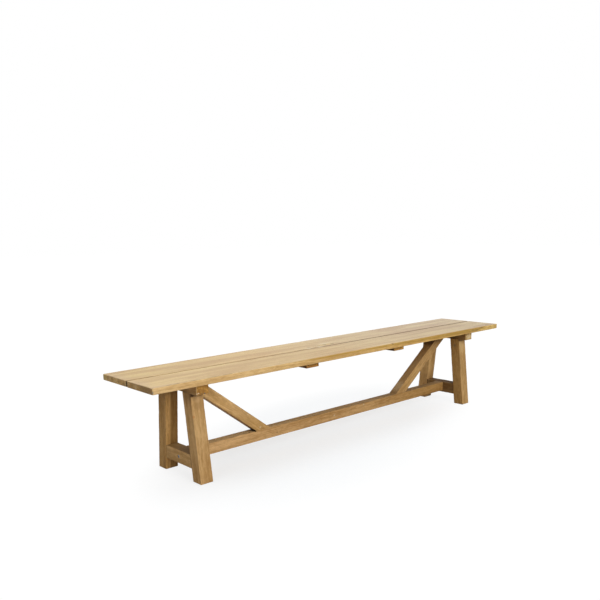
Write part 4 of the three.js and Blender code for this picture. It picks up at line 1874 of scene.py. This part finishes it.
BRACES = {
    Side.LEFT: Grain(
        112, (90.0, 60.0), (0.03, 0.03), tint=(1.13, 1.13, 1.1),
        tints=((0.11, (0.93, 0.91, 0.82)), (0.27, (0.89, 0.88, 0.84)), (0.43, (1.05, 1.07, 1.1)),
               (0.6, (1.22, 1.28, 1.33)), (0.68, (1.24, 1.31, 1.38)), (0.8, (1.15, 1.19, 1.22))),
        marks=(
            # Painted shade on the underside, and the shadow in the wedge under the brace's foot
            SideShade(UNDER_FACE, (0.68, 0.59, 0.5)),
            Smudge((-578, -24, 205), (6, 4, 4), (0.68, 0.52, 0.32), 0.6),
            Smudge((-540, 0, 124), (16, 40, 18), SHADE_DARK, 1.0, UNDER_FACE),
        ),
    ),
    Side.RIGHT: Grain(
        312, (-90.0, -70.0), (0.03, 0.03), tint=(0.98, 0.96, 0.9),
        tints=((0.03, WHITE), (0.12, (1.18, 1.2, 1.18)), (0.3, (1.12, 1.14, 1.1)),
               (0.46, (0.97, 0.98, 1.0)), (0.62, (1.08, 1.1, 1.1)), (0.8, WHITE)),
        marks=(
            # Painted shade on the upper face and below the seat
            SideShade(UPPER_FACE, (0.74, 0.71, 0.67)),
            Seam(380.0, 32.0, 0.6, FORWARD),
            Seam(362.0, 26.0, 0.92, UPPER_FACE),
            Smudge((493, 0, 158), (44, 34, 30), (0.56, 0.4, 0.22), 0.7, UPPER_FACE),
        ),
    ),
}

STRETCHER = Grain(
    77, (100.0, 80.0), (0.01, 0.012), tint=(1.2, 1.2, 1.2),
    tints=((0.1, (1.0, 0.985, 1.0)), (0.37, (0.9, 0.87, 0.86)), (0.63, (0.86, 0.82, 0.757)),
           (0.88, (0.71, 0.64, 0.48))),
    top_tints=((0.22, (0.93, 0.9, 0.78)), (0.45, (0.92, 0.9, 0.82)), (0.65, (0.74, 0.71, 0.64))),
    marks=(
        Smudge((-30, -24, 92), (7, 4, 5), SPOT_PALE, 0.45),
        Smudge((189, -24, 108), (7, 4, 5), SPOT_PALE, 0.45),
        Knot((-410, -24, 84), Runs.ACROSS, 3.0, 1.8, 0.5),
        # Painted shadow in the wedge under the left brace's foot
        Smudge((-538, 0, 117), (10, 40, 5), SHADE_DARK, 1.0),
    ),
)


@dataclass
class Seat:
    """Two long planks with an open gap, and two battens below them."""

    sizes: Sizes
    plank_finish: WoodFinish
    batten_finish: WoodFinish
    end_arris: float = 2.5 * MM
    tip_arris: float = 4.5 * MM
    long_arris: float = 3.2 * MM
    batten_arris: float = 2 * MM
    plank_column: float = 8 * MM
    batten_column: float = 5 * MM
    dents: int = 9
    chip: float = 6.5 * MM
    chip_normal: Point = (-1.0, -1.0, -0.6)

    def build(self) -> list[bpy.types.Object]:
        """Builds the planks and battens."""
        return [self._plank(row) for row in Row] + [self._batten(side) for side in Side]

    def _plank(self, row: Row) -> bpy.types.Object:
        """Builds one plank. The front one has a chip off its lower corner.

        Args:
            row: Front or back.

        Returns:
            The plank.
        """
        size = self.sizes
        y = row.value * (size.plank_gap + size.plank_width) / 2
        z = size.seat_height - size.plank_thickness / 2
        half = size.seat_length / 2
        corners = (size.plank_corner, size.plank_slot_corner)[:: -row.value]
        arrises = (self.end_arris, self.tip_arris)[:: -row.value]
        low = square_end((-half, y, z), LEFTWARD, arrises[0], corners, False)
        high = square_end((half, y, z), RIGHTWARD, arrises[1], corners, False)
        if row is Row.FRONT:
            corner = (self.chip - half, -size.seat_width / 2, size.plank_bottom)
            low = EndCut((*low.planes, (corner, self.chip_normal)), self.end_arris, corners, False)
        return Timber(
            node=f"seat_plank_{row.word}",
            centre=(0.0, y, z),
            along=Vector(RIGHTWARD),
            across=Vector(BACKWARD),
            width=size.plank_width,
            depth=size.plank_thickness,
            low=low,
            high=high,
            grain=FRONT_PLANK if row is Row.FRONT else BACK_PLANK,
            finish=self.plank_finish,
            arris=self.long_arris,
            column=self.plank_column,
            dents=self.dents,
        ).build()

    def _batten(self, side: Side) -> bpy.types.Object:
        """Builds one batten across the planks' undersides.

        Args:
            side: Left or right.

        Returns:
            The batten.
        """
        size = self.sizes
        x = side.value * size.batten_x
        z = size.plank_bottom - size.gap - size.batten_thickness / 2
        half = size.batten_length / 2
        return Timber(
            node=f"batten_{side.word}",
            centre=(x, 0.0, z),
            along=Vector(BACKWARD),
            across=Vector(LEFTWARD),
            width=size.batten_width,
            depth=size.batten_thickness,
            low=square_end((x, -half, z), FORWARD, self.batten_arris, size.batten_corners, False),
            high=square_end((x, half, z), BACKWARD, self.batten_arris, size.batten_corners, False),
            grain=BATTENS[side],
            finish=self.batten_finish,
            column=self.batten_column,
            holes=BORES.screws(f"batten_screw_{side.word}"),
        ).build()


@dataclass
class EndFrame:
    """Two splayed legs, a rail and a bearer, with the slanted brace that holds them upright."""

    sizes: Sizes
    finish: WoodFinish
    side: Side
    foot_arris: float = 1.2 * MM
    bearer_arris: float = 2.2 * MM
    bearer_column: float = 5 * MM

    def build(self) -> list[bpy.types.Object]:
        """Builds the frame's timbers."""
        return [self._leg(row) for row in Row] + [self._bearer(), self._rail(), self._brace()]

    @property
    def x(self) -> float:
        """The frame's place along the bench."""
        return self.side.value * self.sizes.frame_x

    def _recess(self, thickness: float, fastener: str, bore: Bore) -> Hole:
        """Makes the recess for a fastener's head in the outer face of a timber.

        Args:
            thickness: The timber's thickness along the bench.
            fastener: The fastener's node, without its side.
            bore: The recess's diameter and depth.

        Returns:
            The recess.
        """
        sign = self.side.value
        mouth = (self.x + sign * thickness / 2, 0.0, middle_of(f"{fastener}_{self.side.word}").z)
        return Hole.plain(mouth, (-sign, 0, 0), *bore)

    def _leg(self, row: Row) -> bpy.types.Object:
        """Builds one leg, which leans in towards its top.

        Args:
            row: Front or back.

        Returns:
            The leg.
        """
        size, sign = self.sizes, row.value
        top = size.bearer_bottom - size.gap
        middle = (top + size.leg_foot) / 2
        y = sign * (size.leg_outer(middle) - size.leg_level_depth / 2)
        glide = middle_of(f"foot_glide_{self.side.word}_{row.word}")
        return Timber(
            node=f"leg_{self.side.word}_{row.word}",
            centre=(self.x, y, middle),
            along=Vector((0, -sign * math.sin(size.leg_splay), math.cos(size.leg_splay))),
            across=Vector(RIGHTWARD),
            width=size.leg_width,
            depth=size.leg_depth,
            low=square_end((self.x, y, size.leg_foot), DOWNWARD, self.foot_arris, jointed=False),
            high=square_end((self.x, y, top), UPWARD, jointed=False),
            grain=LEGS[self.side, row],
            finish=self.finish,
            holes=[Hole.plain((glide.x, glide.y, size.leg_foot), UPWARD, *BORES.glide)],
        ).build()

    def _bearer(self) -> bpy.types.Object:
        """Builds the bearer across the legs' tops.

        Returns:
            The bearer.
        """
        size = self.sizes
        z = (size.bearer_top + size.bearer_bottom) / 2
        half = size.bearer_length / 2
        recess = self._recess(size.bearer_width, "brace_head_screw", BORES.head_recess)
        return Timber(
            node=f"bearer_{self.side.word}",
            centre=(self.x, 0.0, z),
            along=Vector(BACKWARD),
            across=Vector(LEFTWARD),
            width=size.bearer_width,
            depth=size.bearer_height,
            low=square_end((self.x, -half, z), FORWARD, self.bearer_arris, size.bearer_corners, False),
            high=square_end((self.x, half, z), BACKWARD, self.bearer_arris, size.bearer_corners, False),
            grain=BEARERS[self.side],
            finish=self.finish,
            column=self.bearer_column,
            holes=[recess, *BORES.screws(f"bearer_screw_{self.side.word}")],
        ).build()

    def _rail(self) -> bpy.types.Object:
        """Builds the rail between the legs, with its shoulders cut to their splay.

        Returns:
            The rail.
        """
        size = self.sizes
        inner = size.leg_outer(size.rail_middle) - size.leg_level_depth - size.gap
        slope = (math.cos(size.leg_splay), math.sin(size.leg_splay))
        z = size.rail_middle
        recess = self._recess(size.rail_thickness, "stretcher_bolt", BORES.bolt_recess)
        return Timber(
            node=f"rail_{self.side.word}",
            centre=(self.x, 0.0, z),
            along=Vector(BACKWARD),
            across=Vector(LEFTWARD),
            width=size.rail_thickness,
            depth=size.rail_height,
            low=square_end((self.x, -inner, z), (0, -slope[0], slope[1])),
            high=square_end((self.x, inner, z), (0, slope[0], slope[1])),
            grain=RAILS[self.side],
            finish=self.finish,
            holes=[recess],
        ).build()

    def _brace(self) -> bpy.types.Object:
        """Builds the brace, from the stretcher's top to the bearer and the planks.

        Returns:
            The brace.
        """
        size = self.sizes
        toward = -self.side.value
        foot = size.rail_top + size.gap
        head = size.bearer_top
        middle = (foot + head) / 2
        level = size.brace_depth / math.sin(size.brace_angle)
        x = self.x + toward * (size.brace_lower(middle) + level / 2)
        wall = self.x + toward * (size.bearer_width / 2 + size.gap)
        plug = middle_of(f"brace_plug_{self.side.word}")
        mouth = (plug.x, -toward * size.stretcher_width / 2, plug.z)
        return Timber(
            node=f"brace_{self.side.word}",
            centre=(x, 0.0, middle),
            along=Vector((-toward * math.cos(size.brace_angle), 0, math.sin(size.brace_angle))),
            across=Vector(BACKWARD),
            width=size.stretcher_width,
            depth=size.brace_depth,
            low=square_end((x, 0.0, foot), DOWNWARD, jointed=False),
            high=EndCut((((x, 0.0, head), UPWARD), ((wall, 0.0, head), (-toward, 0, 0)))),
            grain=BRACES[self.side],
            finish=self.finish,
            holes=[Hole.plain(mouth, (0, toward, 0), *BORES.plug)],
        ).build()


@dataclass
class LowBeam:
    """The stretcher between the two rails."""

    sizes: Sizes
    finish: WoodFinish
    dents: int = 7

    def build(self) -> list[bpy.types.Object]:
        """Builds the stretcher, with the holes in its underside.

        Returns:
            The stretcher, as the only piece of a list.
        """
        size = self.sizes
        half = size.frame_x - size.rail_thickness / 2 - size.gap
        z = size.rail_top - size.stretcher_height / 2
        bores = {"stretcher_barrel_nut": BORES.nut, "brace_bolt": BORES.brace_recess}
        holes = []
        for side in Side:
            for fastener, bore in bores.items():
                mouth = (middle_of(f"{fastener}_{side.word}").x, 0.0, size.stretcher_bottom)
                holes.append(Hole.plain(mouth, UPWARD, *bore))
        beam = Timber(
            node="stretcher",
            centre=(0.0, 0.0, z),
            along=Vector(RIGHTWARD),
            across=Vector(BACKWARD),
            width=size.stretcher_width,
            depth=size.stretcher_height,
            low=square_end((-half, 0.0, z), LEFTWARD),
            high=square_end((half, 0.0, z), RIGHTWARD),
            grain=STRETCHER,
            finish=self.finish,
            dents=self.dents,
            holes=holes,
        )
        return [beam.build()]


@dataclass
class Fittings:
    """The bolts, washers, nuts, screws, plugs and glides, which keep their solids and get a finish."""

    nodes: dict[str, bpy.types.Object]

    def dress(self, timbers: set[str]) -> None:
        """Gives a finish to each node that isn't a timber.

        Args:
            timbers: The names of the nodes that finer timbers stand for.
        """
        steel = SteelFinish().material()
        finishes = {"plug": PlugFinish().material(), "glide": GlideFinish().material()}
        for name, node in self.nodes.items():
            if name not in timbers:
                found = [finish for word, finish in finishes.items() if word in name]
                node.material_slots[0].material = found[0] if found else steel
                log.info("%s: dressed", name)


# The studio


@dataclass(frozen=True)
class Viewpoint:
    """Where the camera stands and how it looks, with angles in radians and the image measured in pixels."""

    place: Point = (-2.37096, -2.39545, 1.00818)
    yaw: float = 0.7272
    pitch: float = 0.2422
    roll: float = -0.0217
    focal: float = 678.55
    centre_y: float = 398.10
    image: float = 600.0
    sensor: float = 36.0
    farthest: float = 200.0

    def build(self) -> None:
        """Makes the camera. The shift puts the lens's axis where the photograph has it."""
        ahead = math.cos(self.pitch)
        forward = Vector((math.sin(self.yaw) * ahead, math.cos(self.yaw) * ahead, -math.sin(self.pitch)))
        level = Vector((math.cos(self.yaw), -math.sin(self.yaw), 0.0))
        above = level.cross(forward)
        right = level * math.cos(self.roll) + above * math.sin(self.roll)
        up = above * math.cos(self.roll) - level * math.sin(self.roll)
        data = bpy.data.cameras.new("camera")
        data.sensor_width = self.sensor
        data.lens = self.focal * self.sensor / self.image
        data.shift_y = (self.centre_y - self.image / 2) / self.image
        data.clip_end = self.farthest
        camera = bpy.data.objects.new("camera", data)
        turn = Matrix((right, up, -forward)).transposed().to_4x4()
        camera.matrix_world = Matrix.Translation(self.place) @ turn
        bpy.context.scene.collection.objects.link(camera)
        bpy.context.scene.camera = camera


@dataclass(frozen=True)
class Softbox:
    """A square lamp that points at the bench."""

    name: str
    place: Point
    size: float
    watts: float

    target = (0.0, 0.0, 0.25)

    def build(self) -> None:
        """Hangs the lamp."""
        data = bpy.data.lights.new(self.name, "AREA")
        data.shape = "SQUARE"
        data.size = self.size
        data.energy = self.watts
        lamp = bpy.data.objects.new(self.name, data)
        aim = Vector(self.target) - Vector(self.place)
        lamp.rotation_mode = "QUATERNION"
        lamp.rotation_quaternion = aim.to_track_quat("-Z", "Y")
        lamp.location = self.place
        bpy.context.scene.collection.objects.link(lamp)


@dataclass(frozen=True)
class Studio:
    """A white floor that keeps the bench's soft shadow, a white background and soft lamps.

    Near the bench, the floor is a cool grey that takes shadows and glows a little, with a gain for each metre
    along the bench, away from its middle line and to the back. It turns white between two shares of a tilted
    oval. Rays that only carry light to other things meet a plain grey instead.
    """

    ambient: float = 0.18
    plain_grey: float = 0.60
    grey: float = 0.34
    cool: Colour = (0.945, 0.995, 1.042)
    glow: float = 0.71
    along_gain: float = 0.037
    across_gain: float = -0.141
    back_gain: float = 0.042
    far_glow: float = 1.02
    near: float = 0.35
    far: float = 0.80
    oval: tuple[float, float] = (1.78, 0.94)
    tilt: float = 0.20
    behind: float = 0.04
    half_side: float = 30.0
    lamps: tuple[Softbox, ...] = (
        Softbox("overhead", (-0.3, 0.3, 4.2), 3.0, 100.0),
        Softbox("front_left", (-0.9, -4.0, 2.2), 2.5, 115.0),
        Softbox("left", (-3.6, -1.0, 2.4), 1.8, 25.0),
    )

    def build(self) -> None:
        """Builds the floor, the background and the lamps."""
        for lamp in self.lamps:
            lamp.build()
        self._background()
        self._floor()
        bpy.context.scene.view_settings.view_transform = "Standard"

    def _seen(self, shader: Shader) -> Signal:
        """Tells what is seen from what only gives light.

        Args:
            shader: The floor's or the world's shader.

        Returns:
            1 for rays from the camera, a mirror or glass, and 0 for the light that falls on things.
        """
        path = shader.node("ShaderNodeLightPath").outputs
        direct = Signal(shader, path["Is Camera Ray"])
        mirror = Signal(shader, path["Is Glossy Ray"])
        return direct.at_least(mirror).at_least(Signal(shader, path["Is Transmission Ray"]))

    def _background(self) -> None:
        """A world that is white to the camera and dimmer as a light."""
        world = bpy.data.worlds.new("studio")
        bpy.context.scene.world = world
        shader = Shader(world)
        white = shader.node("ShaderNodeBackground", None, {"Color": WHITE, "Strength": 1.0})
        dim = shader.node("ShaderNodeBackground", None, {"Color": WHITE, "Strength": self.ambient})
        sockets = {0: self._seen(shader), 1: dim.outputs[0], 2: white.outputs[0]}
        mixed = shader.node("ShaderNodeMixShader", None, sockets)
        shader.node("ShaderNodeOutputWorld", None, {"Surface": mixed.outputs[0]})

    def _floor(self) -> None:
        """A wide floor, whose lit part is white to the camera while the bench's shadow stays."""
        shader = Shader(bpy.data.materials.new("floor"))
        x, y, _ = shader.split(shader.place())
        run, step = x / self.oval[0], (y - x * self.tilt - self.behind) / self.oval[1]
        away = (run * run + step * step).root().rise(self.near, self.far)
        close = x * self.along_gain + abs(y) * self.across_gain + y * self.back_gain + self.glow
        glow = away * (self.far_glow - close) + close
        grey = shader.scale(self.cool, (1 - away) * self.grey)
        shade = shader.node("ShaderNodeBsdfDiffuse", None, {"Color": grey})
        light = shader.node("ShaderNodeEmission", None, {"Strength": glow})
        shown = shader.node("ShaderNodeAddShader", None, {0: shade.outputs[0], 1: light.outputs[0]})
        plain = shader.node("ShaderNodeBsdfDiffuse", None, {"Color": (self.plain_grey,) * 3})
        sockets = {0: self._seen(shader), 1: plain.outputs[0], 2: shown.outputs[0]}
        mixed = shader.node("ShaderNodeMixShader", None, sockets)
        shader.node("ShaderNodeOutputMaterial", None, {"Surface": mixed.outputs[0]})
        side = self.half_side
        corners = np.array([(-side, -side, 0), (side, -side, 0), (side, side, 0), (-side, side, 0)], float)
        floor = new_object("floor", corners, np.array([[0, 1, 2, 3]]), np.empty((0, 3), int))
        floor.data.materials.append(shader.owner)


def main() -> None:
    """Builds the bench and the studio."""
    logging.basicConfig(level=logging.INFO, format="%(message)s")
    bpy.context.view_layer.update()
    sizes = Sizes()
    planks = WoodFinish(PLANK_TONE, Slot.PLANK)
    frames = WoodFinish(FRAME_TONE, Slot.FRAME)
    parts = [Seat(sizes, planks, frames), LowBeam(sizes, frames)]
    parts += [EndFrame(sizes, frames, side) for side in Side]
    timbers = set()
    for part in parts:
        for piece in part.build():
            timbers.add(piece.name.removesuffix("_timber"))
            log.info("%s: %d faces", piece.name, len(piece.data.polygons))
    Fittings(frame["nodes"]).dress(timbers)
    Studio().build()
    Viewpoint().build()


if __name__ == "__main__":
    main()
